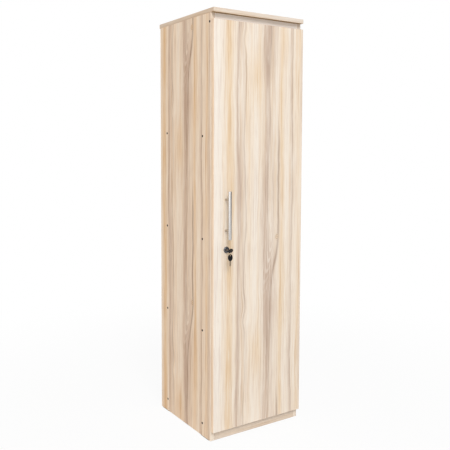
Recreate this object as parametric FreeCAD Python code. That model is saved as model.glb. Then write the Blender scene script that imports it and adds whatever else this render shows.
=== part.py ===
import FreeCAD, Part
import math
import os

from FreeCAD import Vector

# Tall single-door cupboard in oak-print melamine board. Millimetres, +Z up, front towards -Y,
# origin at floor level in the middle of the outline seen from above.

# Carcass
height = 1800.0
width = 466.0
side_depth = 438.0
board = 18.0
edging = 1.0
edging_round = 0.8
top_front_overhang = 20.0
top_rear_overhang = 8.0
bottom_height = 49.0
rail_height = 70.0
rail_setback = 1.0
back_thickness = 3.0
back_side_inset = 2.0
back_floor_gap = 12.0

# Shelves and the bearers that carry them; the bearers' mid-lines are set as shares of the height
lower_bearer_share = 0.26556
middle_bearer_share = 0.48139
upper_bearer_share = 0.71889
bearer_height = 60.0
bearer_setback = 40.0
bearer_rear_setback = 38.0
shelf_setback = 22.0

# Glides under the side panels
glide_height = 3.0
glide_length = 60.0
glide_front_inset = 17.0
glide_rear_inset = 11.0
glide_side_margin = 1.0
glide_chamfer = 2.0

# Door
door_thickness = 18.0
door_gap = 2.0
door_side_gap = 1.0
door_bottom = 44.0
door_top_drop = 26.0

# Screws through the sides, and how far the front ones sit below the rear ones at each bearer
side_screw_head = 10.0
side_screw_head_height = 3.5
side_screw_shank = 6.4
side_screw_length = 34.0
side_screw_front = 66.0
side_screw_rear = 62.0
lower_screw_step = 29.0
middle_screw_step = 24.0
upper_screw_step = 16.0
rail_screw_drop = 35.0
screw_clearance = 0.05

# Cross recess of every screw, as shares of its head's diameter and height
recess_span_share = 0.6
recess_slot_share = 0.15
recess_depth_share = 0.6

# Screws that hold the shelves down on their bearers
shelf_screw_head = 7.0
shelf_screw_head_height = 2.4
shelf_screw_shank = 3.5
shelf_screw_bite = 11.0

# Corner blocks under the top and behind the plinth
block_leg = 20.0
block_lip = 11.0
block_length = 36.0
block_screw_spread = 18.0
block_screw_head = 7.0
block_screw_head_height = 2.2
block_screw_shank = 3.5
block_screw_bite = 10.0
top_block_front = 120.0
top_block_rear = 90.0
plinth_block_lift = 23.0

# Pins round the back panel
pin_head = 4.0
pin_head_height = 0.8
pin_shank = 1.6
pin_length = 20.0
pins_per_side = 6
pin_end_margin = 60.0
pin_inset = 110.0

# Bar handle
handle_inset = 60.0
handle_height = 960.0
handle_bar_diameter = 14.0
handle_bar_length = 200.0
handle_bar_chamfer = 0.8
handle_centres = 128.0
handle_reach = 32.0
handle_post_diameter = 9.0
handle_screw_head = 8.0
handle_screw_head_height = 2.2
handle_screw_shank = 4.0
handle_screw_bite = 12.0

# Cam lock
lock_inset = 63.0
lock_drop = 145.0
lock_flange_diameter = 26.5
lock_flange_proud = 5.0
lock_flange_chamfer = 2.2
lock_barrel_diameter = 18.6
lock_barrel_tail = 8.0
lock_bore_clearance = 0.2
lock_nut_across_flats = 25.0
lock_nut_height = 4.0
plug_diameter = 12.6
plug_head_diameter = 15.0
plug_head_height = 3.0
plug_clearance = 0.1
plug_drive = 7.0
cam_thickness = 2.0
cam_length = 38.0
cam_width = 12.0
cam_boss_width = 16.0
cam_rest_angle = 45.0
cam_screw_head = 8.6
cam_screw_head_height = 2.0
cam_screw_shank = 4.0
cam_screw_bite = 8.0

# Strike bracket for the cam
strike_thickness = 2.0
strike_reach = 18.0
strike_leg = 26.0
strike_height = 30.0
strike_cam_gap = 0.9
strike_screw_spread = 16.0
strike_screw_head = 6.5
strike_screw_head_height = 1.9
strike_screw_shank = 3.5
strike_screw_length = 14.0

# Keys and their ring
key_tilt = 45.0
key_bow_width = 22.0
key_bow_length = 28.0
key_bow_thickness = 2.8
key_neck_width = 9.0
key_neck_length = 5.0
key_hole_diameter = 5.6
key_hole_margin = 4.75
key_blade_width = 8.0
key_blade_thickness = 1.8
key_blade_length = 22.0
key_blade_shown = 13.0
key_tang_length = 9.0
key_tang_width = 4.6
key_cut_depth = 1.4
key_cut_start_share = 0.5
key_cut_share = 0.85
key_cut_count = 3
keyway_clearance = 0.25
ring_diameter = 18.5
ring_wire = 1.0
ring_lean = 23.0
ring_slant_share = 0.82

# Concealed hinges: distances of the pivots from the side panel's inner face, from the door's
# edge and in from the door's rear face
hinge_end_distance = 106.0
hinge_middle_share = 0.53621
cup_diameter = 35.0
cup_depth = 12.0
cup_wall = 1.5
cup_floor = 1.0
cup_edge_distance = 22.5
cup_clearance = 0.1
cup_flange_thickness = 1.2
cup_flange_width = 24.0
cup_flange_length = 62.0
cup_flange_corner = 6.0
cup_screw_spread = 48.0
cup_screw_offset = 6.0
cup_notch_width = 14.0
cup_notch_depth = 5.0
hinge_screw_head = 7.0
hinge_screw_head_height = 1.4
hinge_screw_shank = 3.5
hinge_screw_length = 11.0
inner_arm_pivot_in = 18.0
inner_arm_pivot_depth = 1.0
inner_cup_pivot_edge = 11.5
inner_cup_pivot_depth = 3.6
outer_arm_pivot_in = 19.1
outer_arm_pivot_depth = 6.9
outer_cup_pivot_edge = 11.3
outer_cup_pivot_depth = 6.7
hinge_pin_diameter = 2.0
hinge_pin_clearance = 0.1
open_pivot_clearance = 1.3
link_bar_width = 2.2
link_eye_margin = 0.8
outer_link_half_height = 2.3
inner_link_inside = 2.8
inner_link_thickness = 1.5
arm_wall_inside = 4.7
arm_wall_thickness = 1.5
arm_web_thickness = 1.2
arm_ear_margin = 1.0
arm_near_face = 14.0
arm_far_face = 21.8
arm_length = 60.0
arm_web_start = 2.0
arm_screw_setback = 46.0
arm_screw_head = 7.0
arm_screw_head_height = 2.0
arm_screw_shank = 4.0
arm_screw_bite = 9.0
plate_setback = 37.0
plate_wing_thickness = 2.5
plate_wing_width = 16.0
plate_wing_length = 52.0
plate_wing_corner = 5.0
plate_screw_spread = 32.0
plate_body_length = 40.0

overrun = 1.0
parallel_share = 0.99

# Places that follow from the sizes above
X = Vector(1, 0, 0)
Y = Vector(0, 1, 0)
Z = Vector(0, 0, 1)
half_width = width / 2
inner_half = half_width - board
key_reach = lock_flange_proud + key_blade_shown + key_bow_length
front_reach = door_gap + door_thickness + key_reach
rear_reach = side_depth + top_rear_overhang
front_y = (front_reach - rear_reach) / 2
rear_y = front_y + side_depth
top_underside = height - board
door_top = top_underside - door_top_drop
bottom_top = bottom_height + board
door_rear_y = front_y - door_gap
door_front_y = door_rear_y - door_thickness
door_half = half_width - door_side_gap
handle_x = handle_inset - door_half
lock_x = lock_inset - door_half
lock_height = handle_height - lock_drop
bearer_length = side_depth - bearer_setback - bearer_rear_setback
bearer_levels = {
    "lower": height * lower_bearer_share,
    "middle": height * middle_bearer_share,
    "upper": height * upper_bearer_share,
}
screw_steps = {"lower": lower_screw_step, "middle": middle_screw_step, "upper": upper_screw_step}
hinge_heights = {
    "lower": door_bottom + hinge_end_distance,
    "middle": door_bottom + (door_top - door_bottom) * hinge_middle_share,
    "upper": door_top - hinge_end_distance,
}
cup_x = door_half - cup_edge_distance
cam_y = door_rear_y + lock_barrel_tail + plug_clearance


def block(x0, x1, y0, y1, z0, z1):
    """Box between two corners, whichever way round the x limits are given."""
    low = min(x0, x1)
    return Part.makeBox(abs(x1 - x0), y1 - y0, z1 - z0, Vector(low, y0, z0))


def aimed(shape, base, direction):
    """Turn a shape drawn along +Z to a direction and put it at a point."""
    shape.Placement = FreeCAD.Placement(base, FreeCAD.Rotation(Z, direction))
    return shape


def turned(profile):
    """Solid of revolution about Z from (radius, height) points."""
    points = [Vector(radius, 0, level) for radius, level in profile]
    face = Part.Face(Part.makePolygon(points + points[:1]))
    return face.revolve(Vector(), Z, 360)


def eased_strip(x_ends, y_ends, z_ends, outer):
    """Edging strip with the two long edges of its outer face rounded.

    The outer face is the one that the given direction points out of."""
    strip = block(*x_ends, *y_ends, *z_ends)
    reach = max(corner.Point.dot(outer) for corner in strip.Vertexes)
    long_side = max(edge.Length for edge in strip.Edges)
    edges = []
    for edge in strip.Edges:
        on_face = all(corner.Point.dot(outer) > reach - edging / 2 for corner in edge.Vertexes)
        if on_face and edge.Length > long_side - edging / 2:
            edges.append(edge)
    return strip.makeFillet(edging_round, edges)


def prism(points, along):
    """Solid made by moving a closed outline along a vector."""
    return Part.Face(Part.makePolygon(points + points[:1])).extrude(along)


def one_solid(shape):
    """The single solid that a cut or a fuse leaves."""
    return shape.Solids[0]


def cross_recess(head, head_height, face):
    """Two crossed slots sunk in a screw head whose face is at a height on the screw's axis."""
    span = head * recess_span_share / 2
    slot = head * recess_slot_share / 2
    start = face - overrun
    end = face + head_height * recess_depth_share
    return [block(-span, span, -slot, slot, start, end), block(-slot, slot, -span, span, start, end)]


def flush_screw(head, head_height, shank, length, grow=0):
    """Countersunk screw with its head's face at z 0 and its point up +Z; a grown one is a hole."""
    tip = length + grow
    rim = head / 2 + grow
    stem = shank / 2 + grow
    screw = turned([(0, 0), (rim, 0), (stem, head_height), (stem, tip), (0, tip)])
    if grow:
        return screw
    return one_solid(screw.cut(cross_recess(head, head_height, 0)))


def headed_pin(head, head_height, shank, length, grow=0):
    """Flat-headed pin with the underside of its head at z 0 and its point up +Z."""
    tip = length + grow
    rim = head / 2 + grow
    stem = shank / 2 + grow
    return turned([(0, -head_height), (rim, -head_height), (rim, 0), (stem, 0), (stem, tip), (0, tip)])


def round_screw(head, head_height, shank, length, grow=0):
    """Round-head screw with the underside of its head at z 0; a grown one is a hole."""
    screw = headed_pin(head, head_height, shank, length, grow)
    if grow:
        return screw
    return one_solid(screw.cut(cross_recess(head, head_height, -head_height)))


def save(name, *pieces):
    """Write one node, a group where there are several solids."""
    shape = pieces[0] if len(pieces) == 1 else Part.Compound(list(pieces))
    shape.exportStep("parts/%s.step" % name)


def sides():
    """The two hands of the carcass: name and sign of x."""
    return (("left", -1), ("right", 1))


# Carcass screws and pins


def side_screw_places():
    """Depth and height of each screw through a side panel."""
    front = front_y + side_screw_front
    rear = rear_y - side_screw_rear
    board_middle = bottom_height + board / 2
    places = [(front_y + rail_setback + board / 2, top_underside - rail_screw_drop)]
    places += [(front, board_middle), (rear, board_middle)]
    for level, middle in bearer_levels.items():
        step = screw_steps[level] / 2
        places += [(front, middle - step), (rear, middle + step)]
    return places


def side_screws(sign, grow=0):
    """Screws driven in from the outer face of one side panel."""
    made = []
    for depth, level in side_screw_places():
        size = (side_screw_head, side_screw_head_height, side_screw_shank, side_screw_length)
        base = Vector(sign * half_width, depth, level)
        made.append(aimed(flush_screw(*size, grow=grow), base, X * -sign))
    return made


def back_pin_places():
    """Where the pins go through the back panel, as x and z."""
    places = []
    run = top_underside - glide_height - 2 * pin_end_margin
    for _, sign in sides():
        for index in range(pins_per_side):
            level = glide_height + pin_end_margin + run * index / (pins_per_side - 1)
            places.append((sign * (half_width - board / 2), level))
        places.append((sign * (inner_half - pin_inset), bottom_height + board / 2))
        for level in bearer_levels:
            places.append((sign * (inner_half - pin_inset), shelf_base(level) + board / 2))
    return places


def back_pins(grow=0):
    """Flat-headed pins driven forward through the back panel into the board edges."""
    made = []
    for x, level in back_pin_places():
        pin = headed_pin(pin_head, pin_head_height, pin_shank, pin_length, grow)
        made.append(aimed(pin, Vector(x, rear_y + back_thickness, level), -Y))
    return made


# Corner blocks


def block_places():
    """Corner, and the two directions out of the faces that meet there, for each block."""
    places = []
    for _, sign in sides():
        for depth in (front_y + top_block_front, rear_y - top_block_rear):
            places.append((Vector(sign * inner_half, depth, top_underside), X * -sign, -Z))
        plinth_back = front_y + board
        lift = glide_height + plinth_block_lift
        places.append((Vector(sign * inner_half, plinth_back, lift), X * -sign, Y))
    return places


def corner_block(corner, out_a, out_b):
    """Bevelled block seated in a corner between two boards, drilled for its two screws."""
    along = out_a.cross(out_b)
    start = corner - along * (block_length / 2)
    outline = [
        start,
        start + out_a * block_leg,
        start + out_a * block_leg + out_b * block_lip,
        start + out_a * block_lip + out_b * block_leg,
        start + out_b * block_leg,
    ]
    holes = block_screws(corner, out_a, out_b, screw_clearance)
    return one_solid(prism(outline, along * block_length).cut(holes))


def block_screws(corner, out_a, out_b, grow=0):
    """The two screws of one corner block, one into each board."""
    along = out_a.cross(out_b)
    made = []
    for out, other, shift in ((out_a, out_b, -1), (out_b, out_a, 1)):
        seat = corner + out * block_leg + other * (block_lip / 2)
        seat += along * (shift * block_screw_spread / 2)
        length = block_leg + block_screw_bite
        size = (block_screw_head, block_screw_head_height, block_screw_shank, length)
        made.append(aimed(round_screw(*size, grow=grow), seat, -out))
    return made


def all_block_screws(grow=0):
    """Screws of every corner block."""
    return [screw for place in block_places() for screw in block_screws(*place, grow=grow)]


# Boards


def side_panel(sign):
    """Side panel behind its front edging, with every hole that is drilled in it."""
    front = front_y + edging
    panel = block(sign * inner_half, sign * half_width, front, rear_y, glide_height, top_underside)
    holes = side_screws(sign, screw_clearance) + back_pins(screw_clearance)
    holes += all_block_screws(screw_clearance)
    if sign < 0:
        holes += strike_screws(screw_clearance)
    else:
        for level in hinge_heights:
            holes += plate_screws(level, screw_clearance)
    return one_solid(panel.cut(holes))


def top_panel():
    """Top slab inside the edging on its front and both ends."""
    half = half_width - edging
    front = front_y - top_front_overhang + edging
    panel = block(-half, half, front, rear_y + top_rear_overhang, top_underside, height)
    return one_solid(panel.cut(all_block_screws(screw_clearance)))


def bottom_panel():
    """Bottom board between the sides."""
    panel = block(-inner_half, inner_half, front_y + edging, rear_y, bottom_height, bottom_top)
    holes = side_screws(-1, screw_clearance) + side_screws(1, screw_clearance)
    return one_solid(panel.cut(holes + back_pins(screw_clearance)))


def plinth():
    """Plinth board between the sides, under the bottom board."""
    rear = front_y + board
    panel = block(-inner_half, inner_half, front_y, rear, glide_height, bottom_height)
    return one_solid(panel.cut(all_block_screws(screw_clearance)))


def top_front_rail():
    """Rail across the front, under the top."""
    front = front_y + rail_setback
    low = top_underside - rail_height
    panel = block(-inner_half, inner_half, front, front + board, low, top_underside)
    return one_solid(panel.cut(side_screws(-1, screw_clearance) + side_screws(1, screw_clearance)))


def back_panel():
    """Thin back pinned to the rear edges of the sides."""
    half = half_width - back_side_inset
    low = glide_height + back_floor_gap
    panel = block(-half, half, rear_y, rear_y + back_thickness, low, top_underside)
    return one_solid(panel.cut(back_pins(screw_clearance)))


def shelf_base(level):
    """Height of the underside of a shelf: the top of its bearers."""
    return bearer_levels[level] + bearer_height / 2


def bearer(sign, level):
    """Strip screwed to a side panel that carries one end of a shelf."""
    front = front_y + bearer_setback
    low = bearer_levels[level] - bearer_height / 2
    inside = sign * (inner_half - board)
    strip = block(inside, sign * inner_half, front, front + bearer_length, low, shelf_base(level))
    holes = side_screws(sign, screw_clearance) + shelf_screws(level, screw_clearance)
    return one_solid(strip.cut(holes))


def shelf_screws(level, grow=0):
    """Screws up through the bearers into one shelf, one at each end."""
    made = []
    middle = front_y + bearer_setback + bearer_length / 2
    low = bearer_levels[level] - bearer_height / 2
    length = bearer_height + shelf_screw_bite
    size = (shelf_screw_head, shelf_screw_head_height, shelf_screw_shank, length)
    for _, sign in sides():
        base = Vector(sign * (inner_half - board / 2), middle, low)
        made.append(aimed(flush_screw(*size, grow=grow), base, Z))
    return made


def shelf(level):
    """Shelf behind its front edging."""
    low = shelf_base(level)
    front = front_y + shelf_setback + edging
    panel = block(-inner_half, inner_half, front, rear_y, low, low + board)
    return one_solid(panel.cut(shelf_screws(level, screw_clearance) + back_pins(screw_clearance)))


def carcass_edging():
    """Strips on the front edges of the sides, bottom board and shelves."""
    strips = []
    rear = front_y + edging
    for _, sign in sides():
        ends = (sign * inner_half, sign * half_width)
        strips.append(eased_strip(ends, (front_y, rear), (glide_height, top_underside), -Y))
    across = (-inner_half, inner_half)
    strips.append(eased_strip(across, (front_y, rear), (bottom_height, bottom_top), -Y))
    for level in bearer_levels:
        low = shelf_base(level)
        front = front_y + shelf_setback
        strips.append(eased_strip(across, (front, front + edging), (low, low + board), -Y))
    return strips


def top_edging():
    """Strips on the front and both ends of the top slab."""
    front = front_y - top_front_overhang
    levels = (top_underside, height)
    strips = [eased_strip((-half_width, half_width), (front, front + edging), levels, -Y)]
    rear = rear_y + top_rear_overhang
    for _, sign in sides():
        ends = (sign * (half_width - edging), sign * half_width)
        strips.append(eased_strip(ends, (front + edging, rear), levels, X * sign))
    return strips


def foot_glide(sign, front, length):
    """Moulded glide with its lower ends bevelled."""
    x0 = min(sign * inner_half, sign * half_width) + glide_side_margin
    outline = [
        Vector(x0, front, glide_height),
        Vector(x0, front + length, glide_height),
        Vector(x0, front + length - glide_chamfer, 0),
        Vector(x0, front + glide_chamfer, 0),
    ]
    return prism(outline, X * (board - 2 * glide_side_margin))


# Door, handle


def handle_post_heights():
    """Heights of the two handle posts."""
    return (handle_height - handle_centres / 2, handle_height + handle_centres / 2)


def handle_screws(grow=0):
    """Screws from the rear of the door into the handle posts."""
    made = []
    length = door_thickness + handle_screw_bite
    size = (handle_screw_head, handle_screw_head_height, handle_screw_shank, length)
    for level in handle_post_heights():
        base = Vector(handle_x, door_rear_y, level)
        made.append(aimed(round_screw(*size, grow=grow), base, -Y))
    return made


def door_panel():
    """Door board inside its edging, bored for the hinge cups, the lock and the handle."""
    half = door_half - edging
    panel = block(-half, half, door_front_y, door_rear_y, door_bottom + edging, door_top - edging)
    bore = (lock_barrel_diameter + lock_bore_clearance) / 2
    through = door_thickness + 2 * overrun
    holes = handle_screws(screw_clearance)
    holes.append(Part.makeCylinder(bore, through, lock_place(door_front_y - overrun), Y))
    cup_bore = cup_diameter / 2 + cup_clearance
    for level in hinge_heights:
        mouth = hinge_point(cup_x, door_rear_y, level)
        holes.append(Part.makeCylinder(cup_bore, cup_depth + cup_clearance, mouth, -Y))
        holes += cup_screws(level, screw_clearance)
    return one_solid(panel.cut(holes))


def door_edging():
    """Strips round the four edges of the door."""
    strips = []
    depths = (door_front_y, door_rear_y)
    for _, sign in sides():
        ends = (sign * (door_half - edging), sign * door_half)
        strips.append(eased_strip(ends, depths, (door_bottom, door_top), X * sign))
    half = door_half - edging
    for low, outer in ((door_bottom, -Z), (door_top - edging, Z)):
        strips.append(eased_strip((-half, half), depths, (low, low + edging), outer))
    return strips


def handle_bar():
    """Upright round bar with its two ends eased."""
    low = handle_height - handle_bar_length / 2
    rim = handle_bar_diameter / 2
    ease = handle_bar_chamfer
    high = handle_bar_length
    bar = turned([(0, 0), (rim - ease, 0), (rim, ease), (rim, high - ease), (rim - ease, high), (0, high)])
    bar.translate(Vector(handle_x, door_front_y - handle_reach, low))
    return bar


def handle_post(level):
    """Post between the door and the bar, coped to the bar and drilled for its screw."""
    foot = Vector(handle_x, door_front_y, level)
    post = Part.makeCylinder(handle_post_diameter / 2, handle_reach, foot, -Y)
    return one_solid(post.cut([handle_bar()] + handle_screws(screw_clearance)))


# Lock


def lock_place(y):
    """Point on the lock's axis."""
    return Vector(lock_x, y, lock_height)


def lock_body():
    """Flanged barrel of the lock, bored for its plug."""
    flange = lock_flange_diameter / 2
    barrel = lock_barrel_diameter / 2
    tail = lock_flange_proud + door_thickness + lock_barrel_tail
    seat = plug_head_height
    profile = [
        (plug_head_diameter / 2 + plug_clearance, 0),
        (flange - lock_flange_chamfer, 0),
        (flange, lock_flange_chamfer),
        (flange, lock_flange_proud),
        (barrel, lock_flange_proud),
        (barrel, tail),
        (plug_diameter / 2 + plug_clearance, tail),
        (plug_diameter / 2 + plug_clearance, seat),
        (plug_head_diameter / 2 + plug_clearance, seat),
    ]
    return aimed(turned(profile), lock_place(door_front_y - lock_flange_proud), Y)


def lock_nut():
    """Hexagon nut that clamps the lock to the rear of the door."""
    corner = lock_nut_across_flats / 2 / math.cos(math.pi / 6)
    points = []
    for index in range(6):
        turn = index * math.pi / 3
        out = X * math.cos(turn) + Z * math.sin(turn)
        points.append(lock_place(door_rear_y) + out * corner)
    hole = lock_barrel_diameter / 2 + plug_clearance
    through = lock_nut_height + 2 * overrun
    nut = prism(points, Y * lock_nut_height)
    return one_solid(nut.cut(Part.makeCylinder(hole, through, lock_place(door_rear_y - overrun), Y)))


def tilted(angle):
    """Direction in the door's plane at an angle from upright, clockwise seen from the front."""
    turn = math.radians(angle)
    return X * math.sin(turn) + Z * math.cos(turn)


def centred_bar(base, across, width_across, up, width_up, length):
    """Bar of a rectangular section centred on an axis along +Y."""
    corner = base - across * (width_across / 2) - up * (width_up / 2)
    outline = [
        corner,
        corner + across * width_across,
        corner + across * width_across + up * width_up,
        corner + up * width_up,
    ]
    return prism(outline, Y * length)


def lock_plug():
    """Turning plug with its keyway, its square drive for the cam and the cam screw's hole."""
    rim = plug_head_diameter / 2
    stem = plug_diameter / 2
    tail = cam_y - door_front_y + lock_flange_proud
    seat = plug_head_height
    plug = turned([(0, 0), (rim, 0), (rim, seat), (stem, seat), (stem, tail), (0, tail)])
    front = door_front_y - lock_flange_proud
    plug = aimed(plug, lock_place(front), Y)
    up = tilted(key_tilt)
    across = up.cross(Y)
    root = lock_place(cam_y - overrun)
    drive = centred_bar(root, across, plug_drive, up, plug_drive, cam_thickness + overrun)
    keyway = centred_bar(
        lock_place(front - overrun),
        across,
        key_blade_thickness + 2 * keyway_clearance,
        up,
        key_blade_width + 2 * keyway_clearance,
        key_blade_length - key_blade_shown + keyway_clearance + overrun,
    )
    return one_solid(plug.fuse(drive).cut([keyway, cam_screw(screw_clearance)]))


def cam_screw(grow=0):
    """Screw that holds the cam on the plug."""
    size = (cam_screw_head, cam_screw_head_height, cam_screw_shank, cam_thickness + cam_screw_bite)
    return aimed(round_screw(*size, grow=grow), lock_place(cam_y + cam_thickness), -Y)


def lock_cam():
    """Flat cam with a round boss, a tapering tongue and a square hole."""
    up = tilted(key_tilt)
    across = up.cross(Y)
    tongue = tilted(-cam_rest_angle)
    beside = tongue.cross(Y)
    base = lock_place(cam_y)
    boss = Part.makeCylinder(cam_boss_width / 2, cam_thickness, base, Y)
    outline = [
        base - beside * (cam_boss_width / 2),
        base + beside * (cam_boss_width / 2),
        base + beside * (cam_width / 2) + tongue * cam_length,
        base - beside * (cam_width / 2) + tongue * cam_length,
    ]
    size = plug_drive + 2 * plug_clearance
    through = cam_thickness + 2 * overrun
    hole = centred_bar(lock_place(cam_y - overrun), across, size, up, size, through)
    return one_solid(boss.fuse(prism(outline, Y * cam_thickness)).removeSplitter().cut(hole))


def strike_front_y():
    """Front face of the strike's projecting leg, just ahead of the cam."""
    return cam_y - strike_cam_gap - strike_thickness


def strike():
    """Angle bracket on the left side panel that the cam turns behind."""
    front = strike_front_y()
    low = lock_height - strike_height / 2
    high = lock_height + strike_height / 2
    wall = -inner_half
    points = [
        Vector(wall, front, low),
        Vector(wall + strike_reach, front, low),
        Vector(wall + strike_reach, front + strike_thickness, low),
        Vector(wall + strike_thickness, front + strike_thickness, low),
        Vector(wall + strike_thickness, front + strike_leg, low),
        Vector(wall, front + strike_leg, low),
    ]
    return one_solid(prism(points, Z * (high - low)).cut(strike_screws(screw_clearance)))


def strike_screws(grow=0):
    """Two countersunk screws through the strike into the side panel."""
    made = []
    size = (strike_screw_head, strike_screw_head_height, strike_screw_shank, strike_screw_length)
    middle = strike_front_y() + (strike_thickness + strike_leg) / 2
    for shift in (-1, 1):
        level = lock_height + shift * strike_screw_spread / 2
        base = Vector(strike_thickness - inner_half, middle, level)
        made.append(aimed(flush_screw(*size, grow=grow), base, -X))
    return made


# Keys


def key_frame(base, blade_way, wide_way):
    """Placement that takes a key drawn with its blade along +Y and its width along X."""
    turn = FreeCAD.Rotation(wide_way, blade_way, wide_way.cross(blade_way), "ZYX")
    return FreeCAD.Placement(base, turn)


def key_pieces(base, blade_way, wide_way):
    """Blade and bow of one key; the base is where the blade leaves the bow."""
    half_blade = key_blade_width / 2
    half_tang = key_tang_width / 2
    lift = Z * (-key_blade_thickness / 2)
    outline = [(-half_tang, -key_tang_length), (half_tang, -key_tang_length)]
    outline += [(half_tang, 0), (half_blade, 0)]
    point_start = key_blade_length - half_blade
    cut_start = key_blade_length * key_cut_start_share
    pitch = (point_start - cut_start) / key_cut_count
    half_cut = pitch * key_cut_share / 2
    for index in range(key_cut_count):
        middle = cut_start + pitch * index + pitch / 2
        outline += [
            (half_blade, middle - half_cut),
            (half_blade - key_cut_depth, middle),
            (half_blade, middle + half_cut),
        ]
    outline += [(half_blade, point_start), (0, key_blade_length)]
    outline += [(-half_blade, point_start), (-half_blade, 0), (-half_tang, 0)]
    blade = prism([Vector(x, y, 0) + lift for x, y in outline], Z * key_blade_thickness)
    bow_base = Vector(0, 0, -key_bow_thickness / 2)
    tip = bow_base - Y * key_bow_length
    centre = bow_base - Y * (key_bow_length / 2)
    oval = Part.Ellipse(tip, centre + X * (key_bow_width / 2), centre).toShape()
    bow = Part.Face(Part.Wire(oval)).extrude(Z * key_bow_thickness)
    half_neck = key_neck_width / 2
    neck = block(-half_neck, half_neck, -key_neck_length, 0, bow_base.z, -bow_base.z)
    bow = bow.fuse(neck).removeSplitter()
    hole_at = bow_base - Y * (key_bow_length - key_hole_margin) - Z * overrun
    hole = Part.makeCylinder(key_hole_diameter / 2, key_bow_thickness + 2 * overrun, hole_at, Z)
    bow = one_solid(bow.cut([hole, blade]))
    for piece in (blade, bow):
        piece.Placement = key_frame(base, blade_way, wide_way)
    return blade, bow


def first_key():
    """Key standing in the lock."""
    base = lock_place(door_front_y - lock_flange_proud - key_blade_shown)
    return key_pieces(base, Y, tilted(key_tilt))


def first_hole():
    """Middle of the ring hole of the key in the lock."""
    return lock_place(door_front_y - key_reach + key_hole_margin)


def ring_way():
    """Direction from the first key's hole across the ring to the spare key's hole."""
    lean = math.radians(ring_lean)
    return X * -math.sin(lean) - Z * math.cos(lean)


def spare_hole():
    """Middle of the ring hole of the spare key, down and to one side."""
    return first_hole() + ring_way() * ring_diameter


def spare_key():
    """Spare key hanging from the ring, flat to the door."""
    return key_pieces(spare_hole() - Z * (key_bow_length - key_hole_margin), -Z, X)


def key_ring():
    """Wire ring through both keys, slanted so that it passes each hole at about the same angle."""
    along = ring_way()
    slant = Y * ring_slant_share - tilted(key_tilt).cross(Y)
    slant = (slant - along * slant.dot(along)).normalize()
    centre = first_hole() + along * (ring_diameter / 2)
    return aimed(Part.makeTorus(ring_diameter / 2, ring_wire / 2), centre, along.cross(slant))


# Hinges


def hinge_point(x, y, level):
    """Point at a hinge, at the height of its middle."""
    return Vector(x, y, hinge_heights[level])


def arm_pivot(inward, depth, level):
    """Pivot carried by a hinge's arm."""
    return hinge_point(inner_half - inward, door_rear_y - depth, level)


def cup_pivot(edge, depth, level):
    """Pivot carried by a hinge's cup."""
    return hinge_point(door_half - edge, door_rear_y - depth, level)


def inner_pivots(level):
    """Arm and cup pivots of the inner links."""
    arm_end = arm_pivot(inner_arm_pivot_in, inner_arm_pivot_depth, level)
    return arm_end, cup_pivot(inner_cup_pivot_edge, inner_cup_pivot_depth, level)


def outer_pivots(level):
    """Arm and cup pivots of the outer link."""
    arm_end = arm_pivot(outer_arm_pivot_in, outer_arm_pivot_depth, level)
    return arm_end, cup_pivot(outer_cup_pivot_edge, outer_cup_pivot_depth, level)


def upright(centre, radius, low, high):
    """Upright cylinder between two heights measured from a point."""
    return Part.makeCylinder(radius, high - low, centre + Z * low, Z)


def link(start, end, low, high, start_hole, end_hole):
    """Flat link with a round eye and a hole at each end."""
    way = (end - start).normalize()
    side = way.cross(Z) * (link_bar_width / 2)
    base = Z * low
    outline = [start + side + base, end + side + base, end - side + base, start - side + base]
    bar = prism(outline, Z * (high - low))
    eyes = [
        upright(start, start_hole + link_eye_margin, low, high),
        upright(end, end_hole + link_eye_margin, low, high),
    ]
    holes = [
        upright(start, start_hole, low - overrun, high + overrun),
        upright(end, end_hole, low - overrun, high + overrun),
    ]
    return one_solid(bar.fuse(eyes).removeSplitter().cut(holes))


def inner_links(level):
    """Pair of flat links, above and below the outer link, pinned to the arm and the cup."""
    hole = hinge_pin_diameter / 2 + hinge_pin_clearance
    start, end = inner_pivots(level)
    made = []
    for low in (inner_link_inside, -inner_link_inside - inner_link_thickness):
        made.append(link(start, end, low, low + inner_link_thickness, hole, hole))
    return made


def outer_link(level):
    """Middle link, with room round its cup pin."""
    start, end = outer_pivots(level)
    hole = hinge_pin_diameter / 2 + hinge_pin_clearance
    wide_hole = hinge_pin_diameter / 2 + open_pivot_clearance
    return link(start, end, -outer_link_half_height, outer_link_half_height, hole, wide_hole)


def arm_pins(level, grow=0):
    """Two pins across the tip of the arm."""
    reach = arm_wall_inside + arm_wall_thickness
    radius = hinge_pin_diameter / 2 + grow
    ends = (inner_pivots(level)[0], outer_pivots(level)[0])
    return [upright(end, radius, -reach, reach) for end in ends]


def cup_pins(level, grow=0):
    """Pin across the cup for the outer link, and a stub from each wall for the inner links."""
    radius = hinge_pin_diameter / 2 + grow
    made = []
    for pivots, inside in ((inner_pivots, inner_link_inside), (outer_pivots, 0)):
        pivot = pivots(level)[1]
        reach = math.sqrt((cup_diameter / 2 - cup_wall / 2) ** 2 - (pivot.x - cup_x) ** 2)
        if inside:
            made += [upright(pivot, radius, inside, reach), upright(pivot, radius, -reach, -inside)]
        else:
            made.append(upright(pivot, radius, -reach, reach))
    return made


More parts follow.
